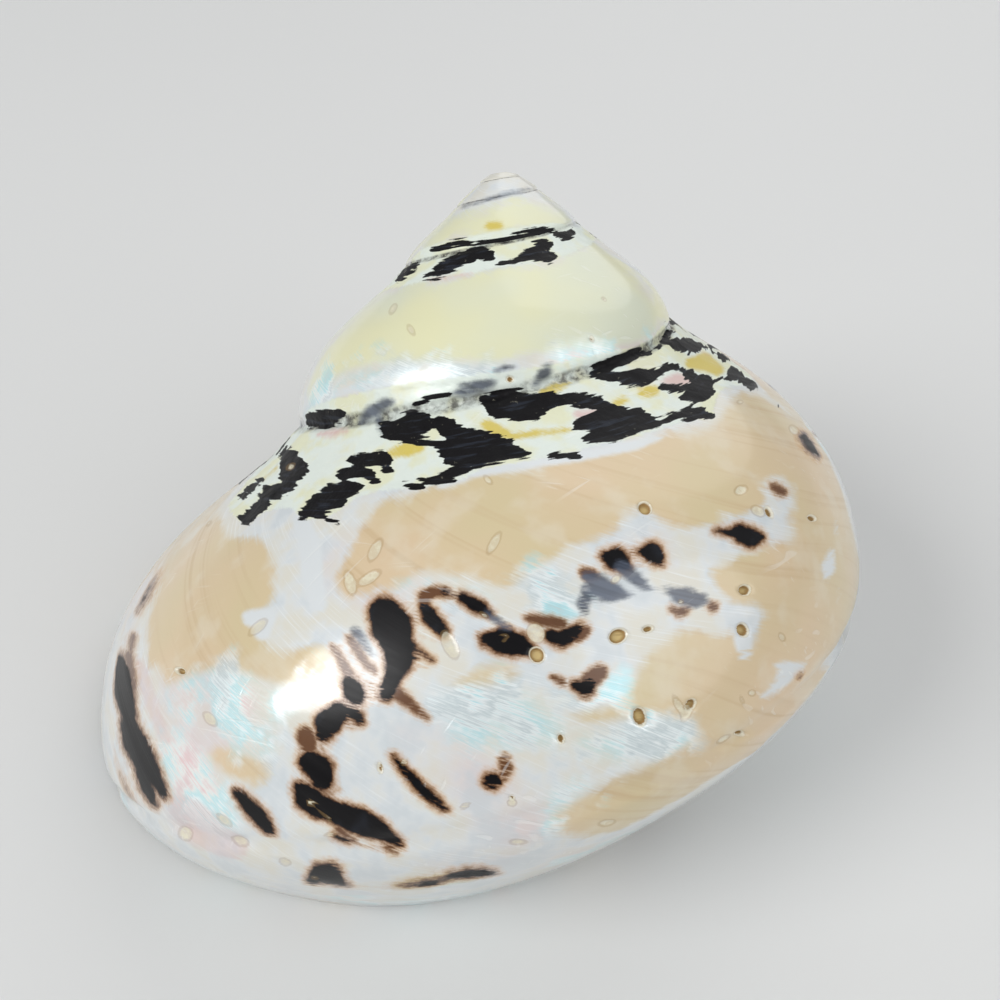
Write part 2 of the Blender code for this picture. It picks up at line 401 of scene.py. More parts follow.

# %% [markdown]
# Drawing the marks as the photograph shows them
#
# The dark blotches, cream bands and borings have no law that a formula could follow, so they are
# drawn as an illustrator would: brush strokes and outlines in pixels of the photograph.
# Each stop of a stroke is x, y and half the brush's width. The strokes are then laid on the shell
# from the camera's place, so that they sit on the surface from every side.

# %% Black marks in the rough seams
SEAM_MARKS = {
    "left rim sliver": [(236, 497, 2), (247, 489, 3.5), (259, 479, 2)],
    "left chain": [(291, 487, 3), (278, 489, 6), (266, 495, 6), (259, 506, 5), (247, 518, 6)],
    "left blob": [(287, 456, 8), (293, 468, 12), (289, 477, 9)],
    "left top lens": [(296, 425, 2), (310, 420, 6), (325, 418, 7.5), (337, 415, 5)],
    "grooved block": [(399, 430, 10), (413, 423, 13), (421, 422, 11)],
    "grooved block foot": [(384, 424, 5), (391, 431, 8), (397, 434, 6)],
    "block line": [(396, 437, 1), (412, 440, 1.6), (432, 442, 3), (446, 447, 6)],
    "wedge": [(438, 421, 4), (450, 430, 9), (462, 440, 12), (478, 437, 7), (499, 439, 2)],
    "brushed patch": [(450, 457, 7), (468, 456, 12), (490, 452, 12), (508, 450, 9), (528, 453, 2)],
    "brushed wisp": [(424, 480, 1), (441, 476, 3), (462, 468, 5)],
    "brushed wisp below": [(420, 479, 1), (436, 481, 2.6), (455, 481, 1.5)],
    "small dash": [(404, 484, 1), (413, 486, 2), (421, 487, 1)],
    "jagged sweep": [(358, 486, 3), (345, 488, 8), (334, 495, 12), (324, 500, 11), (313, 508, 7),
        (303, 514, 4)],
    "jagged tail": [(312, 514, 3), (325, 518, 1.5), (338, 523, 0.7)],
    "mottled patch": [(343, 474, 5), (357, 470, 7), (368, 474, 5), (375, 479, 2)],
    "mottled patch top": [(352, 458, 3), (368, 459, 6), (382, 457, 6), (386, 466, 5)],
    "thin line": [(414, 405, 0.8), (431, 397, 1.5), (449, 393, 2.5)],
    "middle band": [(484, 399, 4), (498, 404, 12), (515, 405, 14), (531, 405, 12), (545, 402, 8)],
    "middle band tail": [(545, 402, 8), (566, 399, 5), (585, 400, 5), (603, 404, 6), (619, 409, 2)],
    "right lobe": [(580, 424, 5), (592, 422, 8), (606, 417, 9), (622, 412, 5)],
    "right body": [(586, 439, 2.5), (604, 434, 7), (620, 427, 11), (638, 421, 11), (656, 423, 4)],
    "right line": [(656, 423, 1.5), (672, 416, 2.5), (690, 413, 5), (704, 413, 5), (712, 416, 2)],
    "low dash": [(549, 456, 0.8), (563, 455, 2), (578, 455, 0.9)],
    "upper wave": [(590, 374, 2), (602, 366, 4), (615, 362, 4.5), (628, 358, 3), (640, 352, 3),
        (651, 353, 1.5)],
    "right wave": [(596, 373, 2), (611, 375, 5), (630, 379, 6.5), (646, 377, 6), (655, 372, 3),
        (668, 367, 2.2), (681, 368, 2.2), (694, 376, 4), (702, 384, 9), (704, 391, 9), (690, 396, 5),
        (682, 398, 1.5)],
    "eye underline": [(663, 386, 2.5), (675, 389, 2.5), (691, 385, 2)],
    "eye line out": [(708, 381, 2), (718, 379, 1.2), (729, 377, 0.8)],
    "corner slate": [(676, 344, 4), (687, 343, 7), (696, 346, 6)],
    "corner crack": [(660, 346, 1), (668, 338, 1.6), (671, 326, 2), (671, 318, 0.8)],
    "right rim": [(694, 336, 2), (706, 339, 2.5), (715, 344, 3), (722, 352, 4), (731, 359, 2.5)],
    "right rim blotch": [(735, 371, 7), (745, 378, 6), (754, 384, 4), (763, 387, 1)],
    "right edge line": [(776, 396, 0.8), (789, 409, 1.5), (798, 419, 0.8)],
    "upper seam left": [(386, 284, 2), (397, 275, 5), (408, 267, 4), (416, 263, 1.5)],
    "upper seam left edge": [(374, 290, 1.5), (384, 283, 2.5)],
    "upper seam sweep": [(423, 277, 1), (436, 273, 4), (446, 266, 8), (458, 260, 7), (470, 255, 5)],
    "upper seam speckle": [(471, 250, 4), (481, 251, 6), (490, 255, 4)],
    "upper seam bird": [(500, 263, 0.8), (514, 261, 1.2), (527, 255, 5), (540, 251, 9), (546, 244, 4)],
    "upper seam bird wing": [(540, 252, 8), (548, 256, 6), (554, 256, 2)],
    "upper seam wave": [(434, 249, 1.5), (450, 245, 2.5), (463, 243, 2), (474, 246, 1)],
    "upper seam thread": [(478, 243, 0.6), (505, 239, 1), (520, 233, 1.2), (535, 230, 1.5),
        (550, 230, 1.2)],
    "upper seam crumbs": [(556, 233, 2), (566, 235, 3), (572, 232, 2)],
}
print(len(SEAM_MARKS), "marks in the seams")

# %% [markdown]
# Slate marks
#
# Where the dark layer is ground almost through, it looks blue-grey, like slate. It could be the
# black made thin, but these patches have places of their own, so they are drawn apart.

# %% Slate marks
SLATE_MARKS = {
    "seam left": [(358, 420, 2), (370, 411, 5), (384, 404, 6), (391, 402, 3)],
    "block edge": [(377, 419, 3), (384, 426, 7), (391, 432, 6)],
    "seam middle": [(451, 394, 2), (463, 391, 6), (478, 387, 7), (490, 384, 5)],
    "seam small": [(495, 371, 1.5), (505, 368, 3), (513, 367, 1.5)],
    "seam folded": [(536, 383, 2), (544, 374, 6), (548, 368, 4)],
    "body wing": [(588, 577, 6), (598, 586, 12), (612, 592, 10), (628, 595, 3)],
    "body wing foot": [(588, 590, 8), (583, 603, 6), (584, 612, 4)],
    "body tail": [(622, 566, 7), (632, 575, 6), (643, 585, 5), (652, 590, 1)],
    "right drop": [(667, 589, 3), (681, 596, 9), (694, 600, 9), (704, 600, 5)],
    "left limb": [(356, 631, 5), (363, 642, 5), (371, 654, 2)],
    "speckles": [(488, 612, 3), (497, 622, 4), (508, 627, 3)],
    "tip seam": [(463, 206, 0.2), (480, 202, 0.5), (498, 196, 0.9), (506, 194, 0.5), (529, 189, 0.3)],
}
print(len(SLATE_MARKS), "slate marks")

# %% [markdown]
# Black marks on the polished body
#
# On the body the dark layer is left in drops and chains, each with a scorched brown rim. The rim
# isn't drawn: the shader makes it from the distance to these same strokes.

# %% Black marks on the body
BODY_MARKS = {
    "great blotch": [(385, 614, 16), (391, 626, 20), (398, 645, 15), (399, 662, 13), (393, 677, 8),
        (387, 693, 8)],
    "great blotch whisker": [(410, 643, 3), (420, 652, 1.5), (432, 661, 0.6)],
    "left of blotch": [(350, 682, 7), (354, 692, 10), (357, 701, 6)],
    "left of blotch foot": [(354, 712, 6), (360, 721, 4)],
    "chain top": [(339, 711, 9), (328, 723, 13), (323, 735, 7)],
    "chain middle": [(310, 762, 11), (319, 768, 13), (323, 781, 10)],
    "chain bend": [(300, 787, 6), (308, 798, 13), (318, 806, 12), (330, 809, 10)],
    "long drop": [(326, 809, 10), (340, 814, 11), (360, 822, 13), (378, 831, 11), (391, 841, 6),
        (401, 847, 1.5)],
    "small dash": [(335, 837, 2.5), (347, 843, 2)],
    "bottom leaf": [(311, 882, 5), (320, 873, 9), (330, 874, 11), (341, 883, 4), (355, 891, 0.8)],
    "thin diagonal": [(393, 755, 1.2), (405, 771, 3.5), (418, 785, 5), (430, 796, 5), (441, 806, 3),
        (448, 811, 0.8)],
    "round spot": [(492, 781, 8.5), (493, 781, 8.5)],
    "left diagonal": [(237, 792, 3.5), (250, 807, 7), (262, 820, 7), (271, 832, 3.5)],
    "arc left": [(424, 606, 4), (430, 616, 7), (437, 625, 7), (443, 631, 5)],
    "arc right": [(461, 596, 4), (469, 601, 5.5), (479, 607, 6), (488, 613, 3)],
    "arc top": [(443, 591, 3), (446, 593, 3)],
    "middle pear": [(487, 639, 6), (503, 641, 13), (518, 645, 11), (529, 650, 6)],
    "middle streak": [(551, 636, 6), (562, 640, 7), (572, 634, 7), (580, 627, 4)],
    "upper bean": [(606, 556, 5), (616, 559, 11), (622, 563, 8)],
    "upper spot": [(641, 551, 3), (652, 552, 9), (657, 558, 7), (660, 563, 3)],
    "right arrow": [(716, 531, 1.2), (728, 532, 2.5), (740, 533, 8), (751, 538, 9), (760, 537, 4)],
    "lower spot": [(574, 684, 3), (586, 690, 7), (591, 683, 5)],
    "right edge spot": [(804, 437, 4), (812, 447, 5), (820, 456, 2.5)],
    "left strip": [(117, 650, 3), (120, 672, 10), (122, 690, 11), (127, 707, 8), (129, 718, 7)],
    "left strip lower": [(128, 724, 8), (135, 743, 12), (145, 762, 11), (156, 780, 7), (165, 796, 3)],
    "left strip foot": [(140, 770, 5), (148, 790, 6), (155, 806, 2)],
    "left outer rim": [(101, 700, 3), (102, 725, 4), (105, 752, 5), (111, 771, 5), (121, 790, 5),
        (131, 806, 3)],
    "left upper rim": [(161, 560, 1.5), (152, 578, 4), (142, 598, 3.5), (136, 611, 1.2)],
    "bottom strip": [(382, 896, 3), (400, 892, 6), (416, 890, 7), (430, 886, 6), (441, 883, 3)],
    "bottom strip right": [(447, 878, 3), (465, 875, 5), (480, 873, 4), (496, 873, 1.5)],
}
print(len(BODY_MARKS), "marks on the body")

# %% [markdown]
# Brown marks and stains
#
# A brown mark is a rim whose black heart is gone. Yellow and pink are stains of the chalky skin.
# All of them are soft and small, so a few brush strokes do for each.

# %% Brown marks, yellow and pink stains
BROWN_MARKS = {
    "arc": [(425, 604, 5), (424, 596, 5), (433, 592, 4), (446, 591, 4)],
    "pear side": [(481, 637, 3), (485, 645, 3)],
    "streak side": [(576, 636, 6), (584, 630, 5)],
    "streak above": [(528, 618, 2.5), (545, 621, 4), (562, 624, 4)],
    "lower spot": [(600, 672, 6), (592, 679, 8), (584, 686, 5)],
    "lower spot left": [(553, 677, 1.5), (562, 683, 2.5)],
    "wing top": [(584, 572, 3), (591, 575, 5)],
    "right drop dot": [(712, 607, 3.5), (713, 607, 3.5)],
    "right drop below": [(672, 609, 1.5), (681, 613, 3), (688, 609, 1)],
    "right small": [(773, 486, 2), (782, 492, 3)],
    "right low": [(800, 678, 1.5), (802, 673, 1.5)],
    "round spot stem": [(504, 759, 4), (507, 769, 5), (502, 778, 4)],
    "great blotch tail": [(393, 690, 6), (405, 700, 4), (416, 709, 3), (427, 719, 1)],
    "left whisker": [(333, 647, 1.5), (342, 662, 2.5), (350, 676, 4)],
    "limb whisker": [(350, 638, 2), (360, 655, 3), (374, 672, 2)],
    "chain link": [(306, 735, 8), (308, 746, 7)],
    "long drop foot": [(339, 829, 2.5), (348, 839, 2), (356, 845, 0.8)],
    "long drop end": [(388, 847, 3), (395, 852, 2)],
    "left strip inner": [(133, 636, 1.8), (131, 648, 1.2)],
    "left strip warm": [(128, 655, 3), (131, 680, 4), (132, 700, 3)],
}
YELLOW_STAINS = {
    "left": [(391, 453, 4), (406, 449, 7), (420, 447, 4)],
    "middle": [(487, 424, 6), (498, 431, 7), (512, 436, 3), (531, 433, 3.5), (550, 431, 3),
        (570, 429, 1.5)],
    "upper middle": [(545, 393, 6), (556, 387, 5), (570, 382, 2)],
    "right": [(644, 391, 6), (655, 390, 5)],
    "far right": [(692, 362, 6), (706, 361, 10), (718, 369, 6)],
    "small": [(617, 403, 4), (626, 398, 3)],
    "rim": [(272, 466, 5), (262, 476, 4)],
    "spire": [(489, 226, 4), (499, 226, 4)],
}
PINK_STAINS = {
    "lens": [(318, 433, 2), (330, 433, 4), (344, 429, 2.5)],
    "middle": [(578, 414, 4), (597, 412, 4)],
    "eye": [(665, 381, 3), (678, 379, 7), (690, 378, 5)],
    "corner": [(702, 344, 4), (711, 350, 4)],
    "under the seam": [(430, 280, 1.5), (470, 275, 1.5)],
    "lower left": [(180, 805, 12), (205, 830, 20), (235, 850, 12)],
    "upper left": [(140, 665, 6), (150, 700, 7), (165, 740, 6)],
}
print(len(BROWN_MARKS), "brown marks,", len(YELLOW_STAINS) + len(PINK_STAINS), "stains")

# %% [markdown]
# The layers in wide areas
#
# Cream and the rough skin cover wide areas with a winding coast, so they are outlines of corners,
# which are rounded later. White and mother-of-pearl lie in streaks, which strokes draw better.

# %% Cream, white and mother-of-pearl
CREAM_ZONES = {
    "body": [(372, 507), (400, 497), (440, 487), (480, 474), (520, 468), (560, 461), (600, 458),
        (640, 446), (665, 433), (700, 427), (716, 418), (723, 402), (742, 392), (768, 397), (800, 425),
        (880, 480), (900, 620), (860, 720), (760, 800), (640, 850), (560, 838), (548, 815), (575, 800),
        (605, 783), (640, 766), (672, 753), (697, 733), (697, 722), (660, 724), (640, 716), (600, 727),
        (568, 722), (562, 716), (600, 706), (622, 700), (634, 680), (640, 660), (655, 640), (675, 632),
        (700, 625), (714, 635), (728, 631), (742, 650), (757, 650), (766, 625), (764, 606), (748, 602),
        (726, 600), (715, 578), (713, 566), (745, 553), (775, 545), (793, 538), (789, 517), (797, 500),
        (788, 482), (774, 476), (763, 488), (766, 503), (745, 509), (720, 516), (700, 527), (672, 531),
        (660, 517), (650, 507), (636, 508), (622, 520), (611, 531), (590, 536), (575, 545), (555, 561),
        (535, 567), (515, 587), (501, 592), (480, 583), (460, 579), (440, 577), (422, 574), (402, 588),
        (380, 586), (362, 592), (350, 604), (340, 590), (334, 575), (352, 555), (357, 532)],
    "left": [(219, 505), (227, 528), (241, 541), (262, 540), (275, 555), (278, 580), (270, 597),
        (262, 606), (240, 612), (262, 640), (290, 652), (322, 648), (330, 662), (322, 680), (296, 690),
        (262, 685), (236, 676), (214, 666), (196, 674), (180, 683), (166, 686), (152, 672), (146, 640),
        (150, 606), (158, 576), (172, 552), (196, 528)],
    "lower left": [(205, 752), (222, 742), (240, 748), (262, 756), (268, 770), (260, 783), (236, 780),
        (214, 772)],
    "lens": [(446, 685), (462, 675), (484, 668), (504, 667), (520, 670), (512, 682), (488, 690),
        (462, 690)],
    "last whorl but one": [(296, 402), (330, 382), (352, 374), (372, 368), (400, 364), (440, 362),
        (480, 364), (506, 358), (540, 355), (566, 348), (600, 348), (630, 352), (650, 341), (660, 326),
        (668, 314), (658, 297), (600, 243), (585, 246), (560, 258), (520, 268), (470, 278), (420, 284),
        (384, 291), (362, 303), (330, 340), (300, 380)],
    "spire": [(420, 256), (452, 238), (498, 236), (530, 226), (570, 228), (560, 208), (534, 199),
        (500, 204), (462, 213), (438, 232)],
}
WHITE_PATCHES = {
    "frill over the seam": [(312, 404, 2), (330, 396, 4), (352, 389, 4), (380, 386, 5), (408, 385, 3),
        (432, 383, 5), (460, 380, 4), (490, 377, 4), (520, 373, 2)],
    "frill right": [(556, 370, 2), (575, 366, 4), (600, 360, 4), (625, 356, 3), (650, 348, 2)],
    "border below the seam": [(440, 486, 2), (480, 472, 4), (530, 463, 5), (580, 456, 5), (630, 446, 5),
        (660, 437, 3)],
    "under the left chain": [(300, 520, 8), (310, 545, 12), (312, 575, 11), (318, 605, 9)],
    "right low": [(775, 664, 2), (790, 668, 8), (800, 668, 6), (812, 661, 1)],
    "right low foot": [(788, 672, 9), (778, 688, 7), (765, 698, 4)],
    "right edge upper": [(832, 552, 4), (829, 568, 8), (826, 580, 2)],
    "right edge lower": [(841, 588, 3), (840, 605, 5), (838, 625, 1.5)],
    "right edge top": [(838, 520, 3), (837, 533, 3)],
    "borings halo": [(743, 640, 9), (745, 655, 7)],
    "left boring halo": [(250, 618, 8), (266, 618, 10), (262, 632, 8)],
}
ROUGH_ZONES = {
    "seam of the last whorl": [(222, 500), (262, 466), (300, 426), (304, 408), (345, 396), (400, 384),
        (450, 378), (500, 372), (545, 366), (600, 353), (648, 345), (668, 316), (700, 328), (760, 362),
        (772, 386), (745, 384), (722, 388), (716, 400), (712, 418), (690, 420), (660, 428), (625, 441),
        (590, 445), (575, 452), (540, 459), (510, 463), (480, 469), (462, 479), (430, 486), (400, 489),
        (370, 492), (350, 500), (335, 515), (305, 522), (290, 505), (262, 512), (245, 525), (232, 515)],
    "seam of the spire": [(345, 300), (380, 268), (415, 250), (440, 243), (470, 236), (520, 226),
        (560, 222), (590, 230), (598, 242), (570, 254), (545, 262), (500, 266), (470, 274), (425, 281),
        (385, 290)],
    "bottom rim": [(380, 905), (382, 884), (430, 876), (470, 866), (500, 870), (560, 866), (560, 890),
        (440, 905)],
}
PEARL_ZONES = {
    "cyan one": [(240, 690, 22), (236, 712, 20), (245, 738, 17), (262, 742, 14)],
    "cyan two": [(278, 706, 20), (300, 696, 17), (322, 684, 10)],
    "cyan three": [(190, 690, 10), (186, 712, 9)],
    "left flow": [(165, 742, 12), (185, 760, 16), (205, 790, 18), (222, 815, 12)],
    "middle": [(446, 698, 10), (480, 705, 20), (515, 712, 28), (545, 728, 22)],
    "middle foot": [(470, 732, 14), (500, 735, 13), (540, 735, 12)],
    "right": [(588, 745, 16), (620, 745, 20), (655, 738, 18), (682, 733, 10)],
    "right foot": [(580, 785, 9), (560, 805, 9), (555, 820, 6)],
    "round the lower spot": [(560, 700, 8), (610, 695, 10), (625, 680, 6)],
    "upper edge": [(415, 583, 5), (450, 588, 6), (490, 597, 6)],
    "dome": [(530, 590, 8), (545, 590, 22), (565, 600, 16)],
    "strip left": [(330, 392, 7), (352, 376, 9), (385, 373, 9), (410, 372, 9)],
    "strip middle": [(430, 370, 8), (458, 372, 8), (480, 372, 6)],
    "strip right": [(560, 365, 9), (580, 362, 7), (660, 345, 6)],
    # The gleam on the seam is a painted highlight in the colours of mother-of-pearl.
    "seam gleam": [(420, 395, 5), (445, 385, 6)],
    "flake": [(431, 429, 3), (436, 424, 3)],
}
print(len(CREAM_ZONES) + len(ROUGH_ZONES), "outlines,", len(WHITE_PATCHES) + len(PEARL_ZONES), "streaks")

# %% [markdown]
# Borings
#
# A sponge bored into the living shell, and the grinding cut its holes open. Some are empty and
# some are filled. Each is an oval: x, y, half length, half width and turn in degrees.

# %% Borings, open and filled
OPEN_BORINGS = {
    "cream one": (645, 508, 8, 6.5, 40), "right upper": (745, 590, 6.5, 6, 0),
    "right lower": (743, 630, 8, 6, 70), "middle right": (618, 636, 10, 8, -30),
    "middle": (537, 655, 9, 8, 60), "lower right": (640, 717, 10.5, 7, 80),
    "leaning": (691, 705, 8, 5, -60), "far low": (742, 735, 6, 3.5, 0), "rim low": (757, 751, 4, 2.5, -20),
    "left small": (180, 671, 6, 4, 20), "left of spot": (380, 768, 7, 3, 80),
    "lower small": (512, 798, 4, 3, 80), "under pear": (561, 739, 6, 4, 80),
    "by the drop": (648, 629, 6, 4, -15), "right pair": (769, 512, 7, 3.5, 60),
    "right": (812, 518, 5, 3.5, 20), "spire one": (592, 339, 3.5, 2, 70),
    "spire two": (604, 299, 2.5, 1.5, 45), "seam": (510, 379, 4, 4, 0),
}
FILLED_BORINGS = {
    "cream leaf": (375, 550, 13, 5.5, -62), "crossed one": (350, 583, 13, 6, 75),
    "crossed two": (369, 578, 14, 5.5, -32), "upper leaf": (494, 543, 13, 4.5, -60),
    "rim leaf": (488, 480, 6, 3, 45), "pale disc": (536, 633, 11, 9, 60),
    "in the pear": (503, 638, 6, 4, -20), "in the wing": (616, 579, 6, 4, -40),
    "in the drop": (681, 602, 3, 3, 0), "long foot": (679, 706, 12, 4, 62),
    "leaning foot": (687, 713, 10, 5, -60), "right oval": (741, 490, 7, 5, -20),
    "right pair left": (758, 511, 8, 5, 30), "in the bend": (311, 803, 6, 4.5, 65),
    "in the drop left": (329, 819, 4.5, 2, 75), "in the leaf": (315, 878, 3.5, 2, 10),
    "left long": (258, 627, 12, 5, -42), "left leaf": (210, 719, 9, 5, 48),
    "left foot one": (224, 820, 9, 4, 38), "left foot two": (238, 843, 9, 4, 20),
    "left foot three": (184, 835, 8, 5, 40), "left rim": (208, 522, 6, 3.5, -50),
    "right rim": (794, 430, 6, 4, 45), "low one": (512, 803, 5, 4, 0), "low two": (465, 806, 6, 3, -30),
    "low three": (330, 835, 6, 3, -10), "low four": (285, 862, 6, 4, 20),
    "blotch spot": (404, 762, 4, 4, 0), "far right one": (752, 693, 4, 3.5, 0),
    # The gleam on the left blob is a painted highlight, drawn as a small filled boring.
    "far right two": (742, 700, 5, 2, 70), "left blob gleam": (290, 466, 5, 3, -30),
    "arc foot": (484, 615, 5, 2.5, 35), "penult one": (393, 309, 6, 3, -60),
    "penult two": (411, 330, 6, 3, 60), "far right three": (782, 637, 5, 3, 60),
    "right foot": (725, 740, 8, 4, -30), "far right top": (740, 402, 3, 2, 0),
    "long": (450, 645, 16, 7.5, 65), "lower end": (518, 842, 9, 3, 0),
    "lower right end": (607, 823, 9, 3.5, -10),
}
print(len(OPEN_BORINGS), "open borings,", len(FILLED_BORINGS), "filled ones")

# %% [markdown]
# How far each point is from a mark
#
# A picture could carry the marks, but this shell has none. Instead every vertex learns its
# distance to the nearest edge of each kind of mark. A shader turns a distance into a crisp,
# ragged or scorched edge as it likes, which a stored colour can't do.

# %% Distances in pixels
FAR = 60.0


def to_line(points, start, end):
    """Where along a straight line each point is nearest, from 0 to 1, and how far it is."""
    way = end - start
    offset = points - start
    share = np.clip(offset @ way / (way @ way), 0, 1)
    return share, np.linalg.norm(offset - share[:, None] * way, axis=1)


def to_strokes(points, strokes, far=FAR):
    """From points to the nearest edge of brush strokes, negative inside."""
    nearest = np.full(len(points), far)
    for stops in strokes.values():
        stops = np.array(stops, float)
        low, high = stops[:, :2].min(0) - far, stops[:, :2].max(0) + far
        near = np.flatnonzero(np.all((points > low) & (points < high), axis=1))
        for start, end in zip(stops[:-1], stops[1:]):
            share, across = to_line(points[near], start[:2], end[:2])
            brush = start[2] + share * (end[2] - start[2])
            nearest[near] = np.minimum(nearest[near], across - brush)
    return nearest


def rounded(corners):
    """An outline with its corners cut twice, as a line drawn by hand has them."""
    corners = np.array(corners, float)
    for _ in range(2):
        after = np.roll(corners, -1, 0)
        corners = np.stack([0.75 * corners + 0.25 * after, 0.25 * corners + 0.75 * after], 1).reshape(-1, 2)
    return corners


def to_zones(points, zones):
    """From points to the nearest outline of the zones, negative inside."""
    nearest = np.full(len(points), FAR)
    for corners in zones.values():
        corners = rounded(corners)
        inside = np.zeros(len(points), bool)
        edge = np.full(len(points), FAR)
        for start, end in zip(corners, np.roll(corners, -1, 0)):
            edge = np.minimum(edge, to_line(points, start, end)[1])
            way = end - start
            if way[1]:
                level = (start[1] > points[:, 1]) != (end[1] > points[:, 1])
                crossing = (points[:, 1] - start[1]) * way[0] / way[1]
                inside ^= level & (points[:, 0] - start[0] < crossing)
        nearest = np.minimum(nearest, np.where(inside, -edge, edge))
    return nearest


def to_borings(points, borings):
    """From points to the nearest rim of the oval borings, negative inside."""
    nearest = np.full(len(points), FAR)
    for x, y, length, width, turn in borings.values():
        c, s = np.cos(np.radians(turn)), np.sin(np.radians(turn))
        offset = points - (x, y)
        along = (offset[:, 0] * c + offset[:, 1] * s) / length
        across = (offset[:, 1] * c - offset[:, 0] * s) / width
        nearest = np.minimum(nearest, (np.hypot(along, across) - 1) * width)
    return nearest


DRAWN = {
    "seam_mark": (to_strokes, SEAM_MARKS), "slate_mark": (to_strokes, SLATE_MARKS),
    "body_mark": (to_strokes, BODY_MARKS), "brown_mark": (to_strokes, BROWN_MARKS),
    "yellow_stain": (to_strokes, YELLOW_STAINS), "pink_stain": (to_strokes, PINK_STAINS),
    "white_patch": (to_strokes, WHITE_PATCHES), "pearl": (to_strokes, PEARL_ZONES),
    "cream": (to_zones, CREAM_ZONES), "rough": (to_zones, ROUGH_ZONES),
    "open_boring": (to_borings, OPEN_BORINGS), "filled_boring": (to_borings, FILLED_BORINGS),
}
PIXELS_PER_MM = 10.0
BORED = ("open_boring", "filled_boring")
CRISP = ("seam_mark", "slate_mark", "body_mark", "brown_mark", *BORED)


def drawn_distance(points, kinds):
    """The least distance in mm from points of the frame to the drawn marks of some kinds."""
    pixels = seen_at(points)
    return np.min([DRAWN[kind][0](pixels, DRAWN[kind][1]) for kind in kinds], axis=0) / PIXELS_PER_MM


heart = np.array(BODY_MARKS["great blotch"][1][:2], float)
print("in the heart of the great blotch:", to_strokes(heart[None], BODY_MARKS)[0], "pixels")


# %% [markdown]
# More faces where the eye looks
#
# Crisp marks need small faces, and plain areas don't. Faces that the camera sees are split in
# four, then those near a mark's edge once more, and those at a boring once again. Faces that are
# tiny already, as on the oldest whorls, are left. A subdivision modifier would split all of them
# alike. New vertices start halfway along an edge, so each is laid back on the true surface by its
# age and row.


# %% Split the faces that show detail
LIFT = 0.05 * MM
SMALLEST = (0.22 * MM)**2
EDGE_ON = 0.04


def camera_sees(points, normals, tree):
    """How squarely each point faces the camera, and -1 where something hides it."""
    facing = np.empty(len(points))
    for place, (point, normal) in enumerate(zip(points, normals)):
        away = Vector(CAMERA_PLACE - point)
        distance = away.length
        away.normalize()
        facing[place] = away.dot(normal)
        start = Vector(point) + LIFT * Vector(normal)
        if facing[place] > 0 and tree.ray_cast(start, away, distance)[0]:
            facing[place] = -1
    return facing


def outside_corner(vert):
    """A corner of the vertex on the outer side of the shell, or None."""
    for loop in vert.link_loops:
        if loop.face.material_index == 0:
            return loop
    return None


def refine(bm, faces):
    """Splits faces in four and lays the new vertices back on the grown surface."""
    grown_at = bm.loops.layers.uv["age and row"]
    known = set(bm.verts)
    edges = list({edge for face in faces for edge in face.edges})
    bmesh.ops.subdivide_edges(bm, edges=edges, cuts=1, use_grid_fill=True)
    fresh = [vert for vert in bm.verts if vert not in known and outside_corner(vert)]
    places = np.array([outside_corner(vert)[grown_at].uv for vert in fresh])
    for vert, point in zip(fresh, shell_points(places[:, 0], places[:, 1])):
        vert.co = point
    bm.normal_update()


def seen_quads(bm, tree):
    """Outer four-cornered faces that the camera sees, and their middles."""
    quads = [face for face in bm.faces if face.material_index == 0 and len(face.verts) == 4]
    quads = [quad for quad in quads if quad.calc_area() > SMALLEST]
    middles = np.array([f.calc_center_median() for f in quads])
    facing = camera_sees(middles, [f.normal for f in quads], tree)
    chosen = np.flatnonzero(facing > EDGE_ON)
    return [quads[place] for place in chosen], middles[chosen]


shell.normal_update()
tree = BVHTree.FromBMesh(shell)
quads, _ = seen_quads(shell, tree)
refine(shell, quads)
print("after the first split:", len(shell.faces), "faces")
REACH_MM = {CRISP: 0.5, BORED: 0.26}
for kinds, reach in REACH_MM.items():
    quads, middles = seen_quads(shell, tree)
    distance = drawn_distance(middles, kinds)
    near = np.abs(distance) < reach
    if kinds == BORED:
        near |= distance < 0
    refine(shell, [quad for quad, close in zip(quads, near) if close])
    print("after a split near", len(kinds), "kinds of mark:", len(shell.faces), "faces")

# %% [markdown]
# The side that the photograph doesn't show
#
# The back and the base are finished as well as the front. They carry the same kinds of mark, but
# strewn by a seeded random generator on an unrolled map of the shell: millimetres along the
# growth and across it, smaller on the older whorls. Where the two sides meet, one fades into the
# other over a few millimetres.

# %% The unrolled map and its strewn marks
BODY_RADIUS_MM = 37.0
WHORL_WIDTH_MM = 30.0
HIDDEN_FAR = 6.0
ROUGH_WIDTH_MM = 5.5


def on_map(age, row):
    """Millimetres along the growth and across it."""
    size = GROWTH_PER_TURN**(np.asarray(age) / TURN)
    along = BODY_RADIUS_MM * TURN / np.log(GROWTH_PER_TURN) * size
    return np.stack([along, row * WHORL_WIDTH_MM * size], -1)


def strewn(seed, count, oldest, rows, length, width, lean):
    """Strokes strewn over the map: half length and half width in mm at the lip, lean in degrees."""
    chance = np.random.default_rng(seed)
    strokes = {}
    for number in range(count):
        age = chance.uniform(oldest, 0) * TURN
        size = GROWTH_PER_TURN**(age / TURN)
        middle = on_map(age, chance.uniform(*rows))
        turn = np.radians(lean + chance.normal(0, 22))
        reach = length * size * chance.uniform(0.4, 1.5) * np.array([np.cos(turn), np.sin(turn)])
        brush = width * size * chance.uniform(0.5, 1.4)
        bow = 0.3 * reach[::-1] * (1, -1) * chance.uniform(-1, 1)
        start, end = (*(middle - reach), 0.3 * brush), (*(middle + reach), 0.4 * brush)
        strokes[number] = [start, (*(middle + bow), brush), end]
    return strokes


